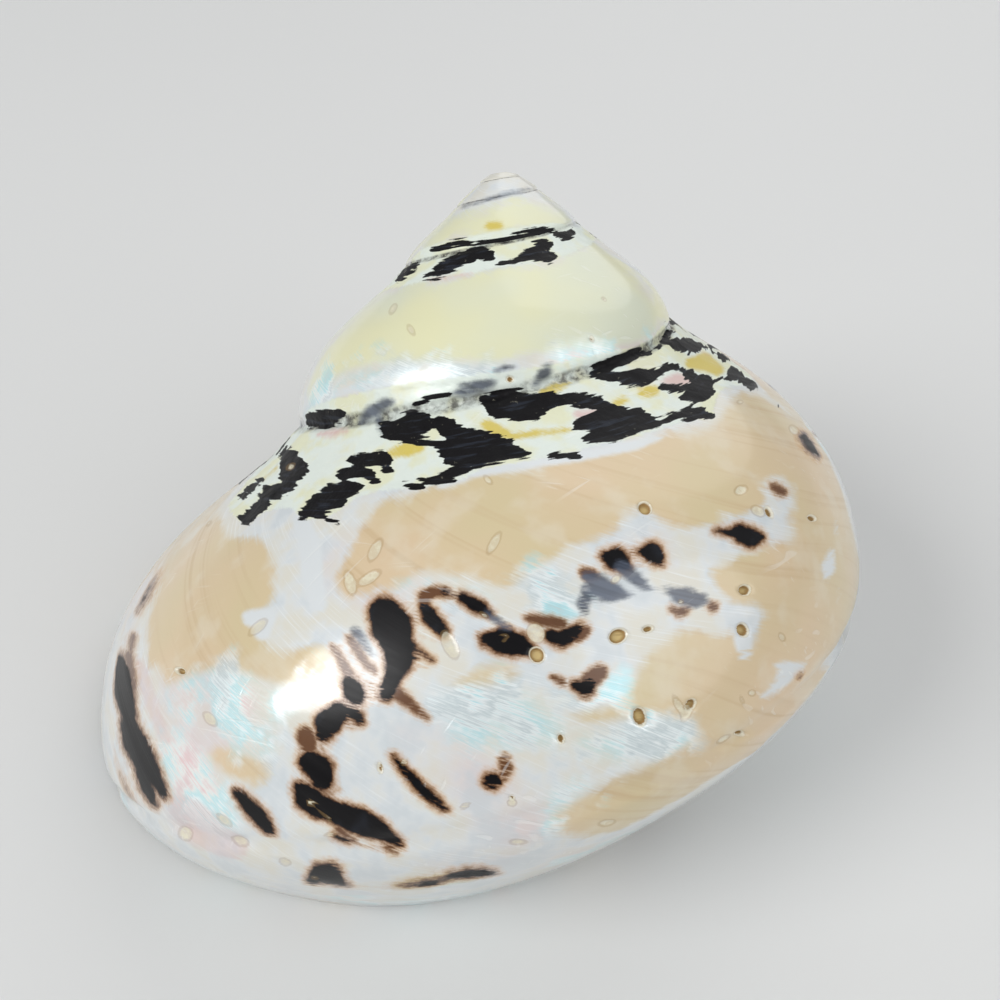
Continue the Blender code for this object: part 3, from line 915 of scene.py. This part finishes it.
# Each call gives seed, count, oldest turn, rows, half length and half width in mm, and lean.
STREWN = {
    "seam_mark": [strewn(3, 130, -3.2, (0.02, 0.19), 2.6, 1.1, 12),
                  strewn(4, 60, -3.2, (0.0, 0.12), 1.2, 0.5, 0)],
    "slate_mark": [strewn(5, 40, -3.0, (0.02, 0.22), 1.6, 0.6, 10)],
    "body_mark": [strewn(6, 24, -0.9, (0.4, 0.95), 2.0, 1.3, 70),
                  strewn(7, 32, -0.9, (1.05, 1.9), 1.8, 1.1, 80)],
    "brown_mark": [strewn(8, 24, -0.9, (0.4, 1.9), 1.8, 0.5, 75)],
    "yellow_stain": [strewn(9, 26, -3.0, (0.02, 0.2), 1.5, 0.7, 5)],
    "pink_stain": [strewn(10, 16, -2.0, (0.02, 1.6), 1.8, 0.9, 30)],
    "white_patch": [strewn(11, 16, -1.5, (0.4, 1.0), 2.0, 1.0, 60)],
    "open_boring": [strewn(12, 46, -1.5, (0.2, 1.9), 0.5, 0.55, 60)],
    "filled_boring": [strewn(13, 52, -1.7, (0.2, 1.9), 0.9, 0.4, 60)],
}


def cloud(points, size_mm, shift):
    """Soft noise of about -1 to 1 with lumps of a size."""
    scale = 1 / (size_mm * MM)
    return np.array([noise.noise(Vector(point) * scale + Vector((shift, 0, 0))) for point in points])


def hidden_distance(kind, points, age, row):
    """The distance in mm to the unseen side's marks of a kind."""
    place = on_map(age, row)
    size = GROWTH_PER_TURN**(age / TURN)
    if kind == "cream":
        # Cream covers most of the top side, and only a few clouds of it are left on the base.
        top_side = 10 * ease((row - 0.93) * 12) - 10 * (cloud(points, 16, 0) + 0.25)
        return np.where(row > 1, 4 + 6 * cloud(points, 12, 5), top_side)
    if kind == "rough":
        return (row * WHORL_WIDTH_MM - ROUGH_WIDTH_MM) * size - 1.5 * cloud(points, 3, 9)
    if kind == "pearl":
        # The base is ground deeper than the top side, so it shows more of the pearl.
        return 3 - 9 * cloud(points, 9, 17) - np.where(row > 1.2, 2.0, 0.0)
    if kind in STREWN:
        return np.min([to_strokes(place, strokes, HIDDEN_FAR) for strokes in STREWN[kind]], axis=0)
    return np.full(len(points), HIDDEN_FAR)


print("strewn:", {kind: sum(len(strokes) for strokes in sets) for kind, sets in STREWN.items()})


# %% [markdown]
# Every vertex learns its distances
#
# The drawn and the strewn marks are written to the mesh as attributes, one number per vertex and
# kind. The border between seen and unseen is softened first, by averaging over neighbours.

# %% Write the distances
SOFTEN_ROUNDS = 14
SEEN_FROM = 0.02
SEEN_OVER = 0.2
shell.verts.ensure_lookup_table()
shell.verts.index_update()
grown_at = shell.loops.layers.uv["age and row"]
places = np.zeros((len(shell.verts), 2))
for vert in shell.verts:
    corner = outside_corner(vert)
    if corner:
        places[vert.index] = corner[grown_at].uv
points = np.array([vert.co for vert in shell.verts])
normals = [vert.normal.copy() for vert in shell.verts]
seen = ease((camera_sees(points, normals, tree) - SEEN_FROM) / SEEN_OVER)
ends = np.array([[vert.index for vert in edge.verts] for edge in shell.edges])
joins = np.bincount(ends.ravel(), minlength=len(points))
for _ in range(SOFTEN_ROUNDS):
    total = np.bincount(ends[:, 0], seen[ends[:, 1]], len(points))
    total += np.bincount(ends[:, 1], seen[ends[:, 0]], len(points))
    seen = np.minimum(seen, total / joins)
distances = {}
for kind in DRAWN:
    front = np.clip(drawn_distance(points, [kind]), -HIDDEN_FAR, HIDDEN_FAR)
    back = np.clip(hidden_distance(kind, points, places[:, 0], places[:, 1]), -HIDDEN_FAR, HIDDEN_FAR)
    distances[kind] = front * seen + back * (1 - seen)
    layer = shell.verts.layers.float.new(kind)
    for vert, value in zip(shell.verts, distances[kind]):
        vert[layer] = value
print(len(points), "vertices,", round(float(seen.mean()), 2), "of them seen")

# %% [markdown]
# Relief
#
# Only what is really deep is made deep: the borings, the flaked skin in the rough seams and the
# crease of the seam itself. All of it goes inward, because the shell has been ground, not built
# up, and because the frame's box is its outer limit. Colours stay flat. The tip is smoothed, as
# it has been worn round on the real shell.

# %% Sink the borings, the rough skin and the crease, and round the tip
BORING_DEPTH = 0.38 * MM
FILLED_DEPTH = 0.07 * MM
BORING_WALL_MM = 0.28
SKIN_DEPTH = 0.22 * MM
CREASE_DEPTH = 0.45 * MM
CREASE_HALF_MM = 0.7
WORN_TIP = 1.5 * MM
TIP_ROUNDS = 6

size = GROWTH_PER_TURN**(places[:, 0] / TURN)
to_seam = np.minimum(np.abs(places[:, 1]), np.abs(places[:, 1] - 1)) * WHORL_WIDTH_MM * size
skin = ease(-distances["rough"] / 0.8) * size**0.5
lumps = 0.5 + 0.5 * np.clip(cloud(points, 2.2, 3) + 0.6 * cloud(points, 0.9, 4), -1, 1)
depth = BORING_DEPTH * ease(-distances["open_boring"] / BORING_WALL_MM)
depth += FILLED_DEPTH * ease(-distances["filled_boring"] / BORING_WALL_MM)
depth += SKIN_DEPTH * skin * lumps
depth += CREASE_DEPTH * size**0.5 * ease(1 - to_seam / (CREASE_HALF_MM * size**0.5)) * (0.4 + 0.6 * lumps)
for vert, normal, sink in zip(shell.verts, normals, depth):
    if outside_corner(vert):
        vert.co -= normal * sink
tip_height = in_frame(tip[None])[0][2] - WORN_TIP
for face in shell.faces:
    if face.calc_center_median().z > tip_height:
        face.material_index = 0
at_tip = [vert for vert in shell.verts if vert.co.z > tip_height]
every_way = {"use_axis_x": True, "use_axis_y": True, "use_axis_z": True}
for _ in range(TIP_ROUNDS):
    bmesh.ops.smooth_vert(shell, verts=at_tip, factor=0.5, **every_way)
print("deepest relief:", round(float(depth.max()) / MM, 2), "mm")
print("smoothed at the tip:", len(at_tip), "vertices")

# %% [markdown]
# The map goes onto the faces
#
# The age and row of each corner become two texture maps: one in millimetres, for growth lines and
# streaks at their real size, and one in turns, which tells the old whorls from the young.

# %% Write the texture maps
MAP_UNIT_MM = 100.0
in_mm = shell.loops.layers.uv.new("growth map")
corners = [loop for face in shell.faces for loop in face.loops]
age_row = np.array([loop[grown_at].uv for loop in corners])
unrolled = on_map(age_row[:, 0], age_row[:, 1]) / MAP_UNIT_MM
for loop, (age, row), place in zip(corners, age_row, unrolled):
    loop[in_mm].uv = place
    loop[grown_at].uv = age / TURN, row
print("mapped", len(corners), "corners")

# %% [markdown]
# The finished mesh
#
# The part that lay under the surface is ground off, as it is on the real shell, which stands on
# small worn flats. A bisect cuts it, and a fill closes the flats.

# %% Grind the feet flat
REST_FACE = 2


def stand_flat(bm):
    """Grinds off what lies under the surface, which leaves small flat feet."""
    everything = list(bm.verts) + list(bm.edges) + list(bm.faces)
    cut = bmesh.ops.bisect_plane(bm, geom=everything, dist=MM / 1000, plane_co=(0, 0, 0),
                                 plane_no=(0, 0, 1), clear_inner=True)["geom_cut"]
    rim = [e for e in cut if isinstance(e, bmesh.types.BMEdge) and e.is_boundary]
    made = bmesh.ops.triangle_fill(bm, use_beauty=True, edges=rim)["geom"]
    for face in made:
        if isinstance(face, bmesh.types.BMFace):
            face.material_index = REST_FACE


stand_flat(shell)
print("worn flats:", sum(face.material_index == REST_FACE for face in shell.faces), "faces")

# %% [markdown]
# A small language for shader nodes
#
# Nodes made in code need three things each: a kind, some settings and what feeds their sockets.
# One helper takes all three, so that a group below reads like a sentence.


# %% Node helpers
def srgb(red, green, blue):
    """A colour as a paint chart names it, 0 to 255, in Blender's linear light."""
    share = np.array([red, green, blue]) / 255
    linear = np.where(share < 0.04045, share / 12.92, ((share + 0.055) / 1.055)**2.4)
    return (*linear.tolist(), 1.0)


def feed(tree, sockets, inputs):
    """Gives each named socket its link or its value."""
    for name, value in inputs.items():
        if isinstance(value, bpy.types.NodeSocket):
            tree.links.new(value, sockets[name])
        else:
            sockets[name].default_value = value


def node(tree, kind, inputs=None, **settings):
    made = tree.nodes.new("ShaderNode" + kind)
    for name, value in settings.items():
        setattr(made, name, value)
    feed(tree, made.inputs, inputs or {})
    return made


def maths(tree, operation, *values):
    return node(tree, "Math", dict(enumerate(values)), operation=operation).outputs[0]


def times(tree, value, factor):
    return maths(tree, "MULTIPLY", value, factor)


def plus(tree, value, more):
    return maths(tree, "ADD", value, more)


def blended(tree, share, under, over):
    """One colour laid over another by a share."""
    return node(tree, "Mix", {0: share, 6: under, 7: over}, data_type="RGBA").outputs[2]


def stretched(tree, vector, scale):
    return node(tree, "VectorMath", {0: vector, 1: scale}, operation="MULTIPLY").outputs[0]


def grain(tree, vector, scale, detail=3.0, roughness=0.55):
    inputs = {"Vector": vector, "Scale": scale, "Detail": detail, "Roughness": roughness}
    return node(tree, "TexNoise", inputs).outputs["Fac"]


def between(tree, value, low, high, to_low=0.0, to_high=1.0):
    """A value's share of the way from low to high, with soft ends."""
    inputs = {"Value": value, "From Min": low, "From Max": high, "To Min": to_low, "To Max": to_high}
    return node(tree, "MapRange", inputs, interpolation_type="SMOOTHSTEP").outputs["Result"]


def new_group(name, takes, gives):
    """An empty node group with its sockets, its inlet and its outlet."""
    tree = bpy.data.node_groups.new(name, "ShaderNodeTree")
    for socket, kind in takes.items():
        tree.interface.new_socket(socket, in_out="INPUT", socket_type="NodeSocket" + kind)
    for socket, kind in gives.items():
        tree.interface.new_socket(socket, in_out="OUTPUT", socket_type="NodeSocket" + kind)
    return tree, tree.nodes.new("NodeGroupInput").outputs, tree.nodes.new("NodeGroupOutput").inputs


def placed(tree, group, inputs):
    return node(tree, "Group", inputs, node_tree=group).outputs


def new_material(name):
    """A material, its node tree and the sockets of its shader."""
    made = bpy.data.materials.new(name)
    made.use_nodes = True
    return made, made.node_tree, made.node_tree.nodes["Principled BSDF"].inputs


print("black in linear light:", [round(value, 4) for value in srgb(8, 6, 9)])

# %% [markdown]
# What makes shell look like shell
#
# The same unevenness runs through every layer. Growth lines and wide bands follow the lip's old
# edges, streaks follow the coil, a grain breaks all edges up, and clouds of two sizes change the
# tint. They are built once as a group, and every layer takes its share.

# %% The unevenness group
uneven, takes, gives = new_group(
    "unevenness", {"Growth map": "Vector", "Place": "Vector"},
    dict.fromkeys(("Lines", "Bands", "Spiral", "Grain", "Clouds", "Slow"), "Float"))
line_map = stretched(uneven, takes["Growth map"], (1.0, 0.07, 1.0))
spiral_map = stretched(uneven, takes["Growth map"], (0.10, 1.0, 1.0))
feed(uneven, gives, {
    "Lines": grain(uneven, line_map, 420.0, 3.0, 0.6),
    "Bands": grain(uneven, line_map, 70.0, 2.0),
    "Spiral": grain(uneven, spiral_map, 250.0, 2.0),
    "Grain": grain(uneven, takes["Place"], 1600.0, 4.0, 0.62),
    "Clouds": grain(uneven, takes["Place"], 260.0),
    "Slow": grain(uneven, takes["Place"], 70.0, 2.0),
})
print("the unevenness group gives", len(gives) - 1, "values")

# %% [markdown]
# From a distance to an edge
#
# The group takes a distance in millimetres and gives a mask. Lines and grain push the edge to and
# fro, so that a mark frays along the lines, as it does on the real shell.

# %% The frayed edge group
frayed, takes, gives = new_group(
    "frayed edge",
    {"Distance": "Float", "Lines": "Float", "Grain": "Float", "Line fray": "Float", "Grain fray": "Float",
     "Soft": "Float"}, {"Mask": "Float"})
line_push = times(frayed, maths(frayed, "SUBTRACT", takes["Lines"], 0.5), takes["Line fray"])
grain_push = times(frayed, maths(frayed, "SUBTRACT", takes["Grain"], 0.5), takes["Grain fray"])
pushed = plus(frayed, takes["Distance"], plus(frayed, line_push, grain_push))
soft_low = times(frayed, takes["Soft"], -1.0)
feed(frayed, gives, {"Mask": between(frayed, pushed, takes["Soft"], soft_low)})
print("the frayed edge group has", len(frayed.nodes), "nodes")

# %% [markdown]
# Mother-of-pearl
#
# Nacre is a stack of clear plates, thinner than a wave of light, so it shows pale cyan, rose and
# gold by their thickness. The true effect moves with the eye, which a baked model can't keep. A
# colour ramp over slow clouds and growth lines gives its look in a still picture.


# %% The lustre group
def ramp(tree, value, stops):
    made = node(tree, "ValToRGB", {"Fac": value})
    elements = made.color_ramp.elements
    while len(elements) < len(stops):
        elements.new(0.5)
    for element, (place, colour) in zip(elements, stops):
        element.position = place
        element.color = colour
    return made.outputs["Color"]


lustre, takes, gives = new_group(
    "lustre", {"Lines": "Float", "Clouds": "Float", "Slow": "Float"}, {"Colour": "Color"})
quick_sway = times(lustre, takes["Clouds"], 0.4)
slow_sway = times(lustre, takes["Slow"], 0.6)
line_sway = times(lustre, maths(lustre, "SUBTRACT", takes["Lines"], 0.5), 0.2)
sway = plus(lustre, plus(lustre, quick_sway, slow_sway), line_sway)
LUSTRE_STOPS = [(0.32, srgb(212, 218, 216)), (0.40, srgb(190, 236, 242)), (0.44, srgb(248, 254, 254)),
                (0.48, srgb(208, 220, 222)), (0.52, srgb(244, 252, 252)), (0.56, srgb(198, 236, 240)),
                (0.61, srgb(242, 244, 240)), (0.66, srgb(238, 206, 208)), (0.74, srgb(232, 230, 212))]
feed(lustre, gives, {"Colour": ramp(lustre, sway, LUSTRE_STOPS)})
print("the lustre runs through", len(LUSTRE_STOPS), "colours")

# %% [markdown]
# Scratches
#
# Polishing leaves a few long hair scratches that catch the light. Noise that is stretched almost
# to lines, and kept only at its highest, gives them without a picture.

# %% The scratch group
scratch, takes, gives = new_group("scratches", {"Place": "Vector", "Where": "Float"}, {"Mask": "Float"})
hairs = 0.0
for turn, density in ((-38, 0.735), (24, 0.755), (8, 0.765)):
    inputs = {"Vector": takes["Place"], "Rotation": (0.0, np.radians(20), np.radians(turn))}
    turned = node(scratch, "Mapping", inputs).outputs[0]
    hair = grain(scratch, stretched(scratch, turned, (0.03, 1.0, 0.35)), 2600.0, 0.0)
    hairs = maths(scratch, "MAXIMUM", hairs, between(scratch, hair, density, density + 0.05))
patchy = between(scratch, takes["Where"], 0.5, 0.62)
feed(scratch, gives, {"Mask": times(scratch, hairs, patchy)})
print("the scratch group has", len(scratch.nodes), "nodes")

# %% [markdown]
# The polished outside
#
# Grinding uncovers the layers one after another. They are painted one over another instead:
# porcelain, cream, mother-of-pearl, then the chalky skin in the seams, its stains and the black
# marks, and last the borings. Their colours were matched to the photograph.

# %% The palette
PORCELAIN = srgb(221, 225, 226)
PORCELAIN_WARM = srgb(222, 219, 207)
PORCELAIN_ROSE = srgb(220, 208, 206)
PORCELAIN_GREY = srgb(200, 208, 212)
CREAM_BODY = srgb(214, 198, 158)
CREAM_WARM = srgb(222, 197, 164)
CREAM_DEEP = srgb(202, 174, 134)
CREAM_PALE = srgb(226, 216, 194)
CREAM_SPIRE = srgb(231, 229, 188)
CREAM_SPIRE_COOL = srgb(222, 226, 204)
CHALK = srgb(228, 236, 226)
CHALK_YELLOW = srgb(228, 230, 196)
BLACK = srgb(8, 6, 9)
# Blue-grey for black worn thin; in the seams' black it also stands for painted sheen.
BLACK_WORN_AND_SHEEN = srgb(50, 56, 68)
SLATE = srgb(92, 100, 116)
SCORCH = srgb(88, 46, 10)
AMBER = srgb(206, 150, 76)
YELLOW = srgb(214, 190, 62)
PINK = srgb(216, 166, 162)
OCHRE = srgb(206, 182, 128)
OCHRE_DARK = srgb(160, 128, 80)
BORING_RIM = srgb(238, 234, 214)
FILLING = srgb(232, 226, 200)
# Painted shade for the thin dark line in the crease of the seam.
PAINTED_SEAM_SHADE = srgb(58, 56, 54)
print("cream in linear light:", [round(value, 3) for value in CREAM_BODY])

# %% The outside's material and its masks
outside, tree, shader = new_material("polished outside")
place = node(tree, "TexCoord").outputs["Object"]
growth_map = node(tree, "UVMap", uv_map="growth map").outputs["UV"]
age_row_map = node(tree, "UVMap", uv_map="age and row").outputs["UV"]
turns, rows = list(node(tree, "SeparateXYZ", {0: age_row_map}).outputs)[:2]
ways = placed(tree, uneven, {"Growth map": growth_map, "Place": place})
lines, bands, spiral, fine, clouds, slow = list(ways)


def distance_to(kind):
    return node(tree, "Attribute", attribute_name=kind, attribute_type="GEOMETRY").outputs["Fac"]


def edge(distance, line_fray, grain_fray, soft, along=lines):
    inputs = {"Distance": distance, "Lines": along, "Grain": fine, "Line fray": line_fray,
              "Grain fray": grain_fray, "Soft": soft}
    return placed(tree, frayed, inputs)["Mask"]


def grown_by(distance, width):
    """The distance to a line that lies outside the mark by a width."""
    return maths(tree, "SUBTRACT", distance, width)


def painted(mask, share, under, over):
    """A colour laid over another where a mask allows, and no more than a share."""
    return blended(tree, times(tree, mask, share), under, over)


print("noises and edges are ready for", len(DRAWN), "kinds of mark")

# %% [markdown]
# Three layers of one wall
#
# Each layer could be one flat colour, but real shell is never even. Clouds and growth lines shift
# every tint a little, and the old whorls are paler and more yellow than the body.

# %% Porcelain, cream and mother-of-pearl
colour = blended(tree, between(tree, clouds, 0.42, 0.66), PORCELAIN, PORCELAIN_WARM)
colour = blended(tree, between(tree, slow, 0.55, 0.72), colour, PORCELAIN_ROSE)
colour = blended(tree, between(tree, lines, 0.52, 0.75, 0.0, 0.5), colour, srgb(240, 244, 246))
colour = blended(tree, between(tree, clouds, 0.52, 0.36, 0.0, 0.55), colour, PORCELAIN_GREY)

cream = blended(tree, between(tree, slow, 0.30, 0.74), CREAM_BODY, CREAM_WARM)
cream = blended(tree, between(tree, bands, 0.50, 0.74, 0.0, 0.6), cream, CREAM_DEEP)
cream = blended(tree, between(tree, clouds, 0.50, 0.70, 0.0, 0.45), cream, CREAM_PALE)
spire = blended(tree, between(tree, slow, 0.38, 0.66), CREAM_SPIRE, CREAM_SPIRE_COOL)
cream = blended(tree, between(tree, turns, -0.72, -0.82), cream, spire)
cream_edge = plus(tree, distance_to("cream"), between(tree, clouds, 0.3, 0.7, -0.6, 0.6))
cream_mask = edge(cream_edge, 1.0, 0.5, 0.7)
colour = blended(tree, cream_mask, colour, cream)
white_mask = edge(distance_to("white_patch"), 0.4, 0.4, 0.35)
colour = blended(tree, white_mask, colour, PORCELAIN)

pearl_edge = plus(tree, distance_to("pearl"), between(tree, clouds, 0.3, 0.7, -1.6, 1.2))
pearl_mask = edge(pearl_edge, 1.6, 1.0, 1.5)
pearl = placed(tree, lustre, {"Lines": lines, "Clouds": clouds, "Slow": slow})["Colour"]
colour = painted(pearl_mask, 0.95, colour, pearl)
print("nodes so far:", len(tree.nodes))

# %% [markdown]
# The skin in the seams
#
# Grinding can't reach into the seams, so chalky skin is left there, with yellow and pink stains.
# It lies over the polished layers in shares, because a little of them shows through.

# %% The chalky skin and its stains
rough_mask = edge(distance_to("rough"), 0.5, 0.7, 0.2)
chalk = blended(tree, between(tree, clouds, 0.45, 0.62), CHALK, CHALK_YELLOW)
colour = painted(rough_mask, 0.85, colour, chalk)
yellow_mask = edge(distance_to("yellow_stain"), 0.5, 0.5, 0.3)
colour = painted(yellow_mask, 0.85, colour, YELLOW)
pink_mask = edge(distance_to("pink_stain"), 0.4, 0.6, 0.4)
pink_share = plus(tree, times(tree, rough_mask, 0.35), 0.3)
colour = painted(pink_mask, pink_share, colour, PINK)
print("nodes so far:", len(tree.nodes))

# %% [markdown]
# Painted shade in the seam
#
# A thin dark line, painted shade in the crease, shows where two whorls meet. It could be drawn as
# well, but its place is known from the map of rows, and so it runs round the whole shell.

# %% The line of the seam
covered = between(tree, turns, -0.74, -0.76)
seam_line = times(tree, covered, between(tree, rows, 0.965, 0.99))
seam_line = maths(tree, "MAXIMUM", seam_line, between(tree, rows, 0.03, 0.008))
seam_line = times(tree, seam_line, between(tree, clouds, 0.36, 0.56, 0.2, 0.9))
seam_line = times(tree, seam_line, between(tree, fine, 0.38, 0.62, 0.35, 1.0))
# The dark line of painted shade goes along the seam's crease.
colour = blended(tree, seam_line, colour, PAINTED_SEAM_SHADE)
print("nodes so far:", len(tree.nodes))

# %% [markdown]
# The dark layer
#
# A black mark on the body thins out through brown to amber. These rims are the same distance taken
# a little further out each time. In the seams the black has no rim, and frays along the coil.

# %% Scorched rims and black marks
body_distance = distance_to("body_mark")
brown_distance = distance_to("brown_mark")
amber_mask = edge(grown_by(body_distance, 0.48), 0.5, 0.9, 0.5)
amber_mask = maths(tree, "MAXIMUM", amber_mask, edge(grown_by(brown_distance, 0.36), 0.6, 0.8, 0.45))
colour = painted(amber_mask, 0.75, colour, AMBER)
scorch_mask = edge(grown_by(body_distance, 0.22), 0.25, 0.8, 0.3)
scorch_mask = maths(tree, "MAXIMUM", scorch_mask, edge(grown_by(brown_distance, 0.16), 0.4, 0.6, 0.3))
colour = painted(scorch_mask, 0.93, colour, SCORCH)
body_black = edge(grown_by(body_distance, -0.02), 0.2, 0.6, 0.14)
worn_black = blended(tree, between(tree, clouds, 0.54, 0.7, 0.0, 0.25), BLACK, BLACK_WORN_AND_SHEEN)
colour = blended(tree, body_black, colour, worn_black)
slate_mask = edge(distance_to("slate_mark"), 0.8, 0.6, 0.4, along=spiral)
slate = blended(tree, between(tree, bands, 0.4, 0.65), SLATE, BLACK_WORN_AND_SHEEN)
colour = painted(slate_mask, 0.92, colour, slate)
seam_black = edge(grown_by(distance_to("seam_mark"), 0.15), 1.6, 0.35, 0.06, along=spiral)
# Blue-grey streaks in the seams' black: partly black worn thin, partly painted sheen.
seam_worn_and_sheen = blended(tree, between(tree, spiral, 0.54, 0.68, 0.0, 0.5), BLACK, BLACK_WORN_AND_SHEEN)
flecks = between(tree, fine, 0.66, 0.72, 0.0, 0.4)
seam_colour = blended(tree, flecks, seam_worn_and_sheen, srgb(150, 146, 130))
colour = blended(tree, seam_black, colour, seam_colour)
print("nodes so far:", len(tree.nodes))

# %% [markdown]
# Holes and fillings
#
# An open boring has a pale rim and an ochre floor that darkens towards its wall as painted shade,
# and a filled one is a cream disc. A faint brown ring around both is painted shade and dirt at
# their small edges.

# %% Colour the borings
open_distance = distance_to("open_boring")
filled_distance = distance_to("filled_boring")
# A faint brown ring around both kinds of boring: painted shade and dirt at their edges.
dirt_and_painted_shade = edge(grown_by(maths(tree, "MINIMUM", open_distance, filled_distance), 0.05), 0.0, 0.15, 0.05)
colour = painted(dirt_and_painted_shade, 0.28, colour, OCHRE_DARK)
rim_mask = edge(open_distance, 0.0, 0.1, 0.06)
colour = painted(rim_mask, 0.8, colour, BORING_RIM)
hole_mask = edge(grown_by(open_distance, -0.12), 0.0, 0.12, 0.05)
# The floor darkens towards the wall: painted shade inside the open hole.
hole = blended(tree, between(tree, open_distance, -0.15, -0.5), OCHRE_DARK, OCHRE)
colour = blended(tree, hole_mask, colour, hole)
filled_mask = edge(grown_by(filled_distance, -0.1), 0.0, 0.3, 0.06)
filling = blended(tree, between(tree, filled_distance, -0.18, -0.02), FILLING, BORING_RIM)
cloudy = between(tree, fine, 0.4, 0.62, 0.45, 0.85)
colour = painted(filled_mask, cloudy, colour, filling)
print("nodes so far:", len(tree.nodes))

# %% [markdown]
# Gloss and fine relief
#
# The polished layers shine as under a clear coat, while chalk, holes and black marks hardly do.
# Growth lines and scratches are too fine for the mesh, so a bump shows them.

# %% Gloss and fine relief
hair_mask = placed(tree, scratch, {"Place": place, "Where": slow})["Mask"]
dark = maths(tree, "MAXIMUM", seam_black, body_black)
hair_mask = times(tree, hair_mask, maths(tree, "SUBTRACT", 1.0, dark))
colour = painted(hair_mask, 0.22, colour, srgb(250, 250, 246))
dull = maths(tree, "MAXIMUM", times(tree, rough_mask, 0.6), hole_mask)
gloss_gap = times(tree, between(tree, bands, 0.35, 0.7), 0.10)
roughness = plus(tree, gloss_gap, between(tree, dull, 0.0, 1.0, 0.3, 0.62))
height = times(tree, lines, 0.10)
skin_height = times(tree, times(tree, fine, rough_mask), 0.9)
pearl_height = times(tree, times(tree, lines, pearl_mask), 0.15)
height = plus(tree, plus(tree, height, skin_height), pearl_height)
height = maths(tree, "SUBTRACT", height, times(tree, hair_mask, 0.2))
bump = node(tree, "Bump", {"Strength": 0.55, "Distance": 0.15 * MM, "Height": height}).outputs["Normal"]
metal = times(tree, pearl_mask, 0.3)
coat = between(tree, maths(tree, "MAXIMUM", dull, dark), 0.0, 1.0, 0.85, 0.05)
feed(tree, shader, {"Base Color": colour, "Roughness": roughness, "Metallic": metal,
                    "Coat Weight": coat, "Normal": bump})
shader["Coat Roughness"].default_value = 0.13
shader["IOR"].default_value = 1.5
shader["Specular IOR Level"].default_value = 0.2
print("the outside's material has", len(tree.nodes), "nodes")

# %% [markdown]
# Inside the mouth, and the flats it stands on
#
# The hollow is lined with mother-of-pearl from end to end. The flats are the same shell, worn dull
# by standing and sliding.


# %% The lining and the worn flats
def lined(name, share, base, roughness):
    """Mother-of-pearl over a base colour."""
    made, tree, shader = new_material(name)
    place = node(tree, "TexCoord").outputs["Object"]
    growth_map = node(tree, "UVMap", uv_map="growth map").outputs["UV"]
    ways = placed(tree, uneven, {"Growth map": growth_map, "Place": place})
    inputs = {"Lines": ways["Lines"], "Clouds": ways["Clouds"], "Slow": ways["Slow"]}
    pearl = placed(tree, lustre, inputs)["Colour"]
    colour = blended(tree, between(tree, ways["Clouds"], 0.35, 0.65, share - 0.2, share), base, pearl)
    height = plus(tree, times(tree, ways["Lines"], 0.3), ways["Clouds"])
    bump = node(tree, "Bump", {"Strength": 0.3, "Distance": 0.1 * MM, "Height": height}).outputs["Normal"]
    rougher = between(tree, ways["Grain"], 0.3, 0.7, roughness, roughness + 0.12)
    feed(tree, shader, {"Base Color": colour, "Normal": bump, "Roughness": rougher})
    return made


lining = lined("pearl lining", 0.95, srgb(226, 226, 220), 0.16)
worn_flat = lined("worn flat", 0.3, srgb(216, 212, 202), 0.5)
print("materials:", outside.name, "and", lining.name, "and", worn_flat.name)

# %% [markdown]
# One object
#
# The shell grew as one piece, so it is one object with three materials. In the frame it takes the
# place of the solid.

# %% Turn it into an object
mesh = bpy.data.meshes.new("polished shell")
shell.to_mesh(mesh)
shell.free()
mesh.shade_smooth()
body = bpy.data.objects.new("polished_shell", mesh)
bpy.context.collection.objects.link(body)

for material in (outside, lining, worn_flat):
    mesh.materials.append(material)
print(body.name, "has", len(mesh.polygons), "faces and", len(mesh.materials), "materials")

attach(body, "root")
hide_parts("shell")

# %% [markdown]
# The surroundings
#
# A plain pale floor and three large soft lights show the polish without a busy reflection. The key
# stands far to the left, where the photograph has its brightest gleam of mother-of-pearl.

# %% Floor and lights
bpy.context.scene.view_settings.view_transform = "Standard"
FLOOR_SIZE = 10.0
floor_mesh = bpy.data.meshes.new("floor")
floor_bm = bmesh.new()
bmesh.ops.create_grid(floor_bm, x_segments=1, y_segments=1, size=FLOOR_SIZE / 2)
floor_bm.to_mesh(floor_mesh)
floor_bm.free()
floor = bpy.data.objects.new("floor", floor_mesh)
pale, _, pale_shader = new_material("pale floor")
pale_shader["Base Color"].default_value = (0.72, 0.72, 0.71, 1)
pale_shader["Roughness"].default_value = 0.6
floor_mesh.materials.append(pale)
bpy.context.collection.objects.link(floor)


def soft_light(name, place, size, power):
    """A round soft light that faces the shell."""
    light = bpy.data.lights.new(name, "AREA")
    light.shape = "DISK"
    light.size = size
    light.energy = power
    lamp = bpy.data.objects.new(name, light)
    lamp.location = place
    lamp.rotation_euler = (Vector((0, 0, 0.02)) - Vector(place)).to_track_quat("-Z", "Y").to_euler()
    bpy.context.collection.objects.link(lamp)


soft_light("key", (-0.92, -0.42, 0.80), 0.7, 8.8)
soft_light("fill", (0.85, -0.50, 0.80), 1.3, 6.4)
soft_light("back", (0.35, 0.95, 0.75), 1.3, 4.0)
world = bpy.data.worlds.new("studio")
world.use_nodes = True
sky = world.node_tree
direction = node(sky, "SeparateXYZ", {0: node(sky, "TexCoord").outputs["Generated"]}).outputs["Z"]
SKY_STOPS = [(0.0, (0.66, 0.66, 0.67, 1)), (0.3, (0.40, 0.41, 0.42, 1)), (1.0, (0.66, 0.68, 0.70, 1))]
light_above = ramp(sky, direction, SKY_STOPS)
sky.links.new(light_above, sky.nodes["Background"].inputs["Color"])
sky.nodes["Background"].inputs["Strength"].default_value = 0.62
bpy.context.scene.world = world
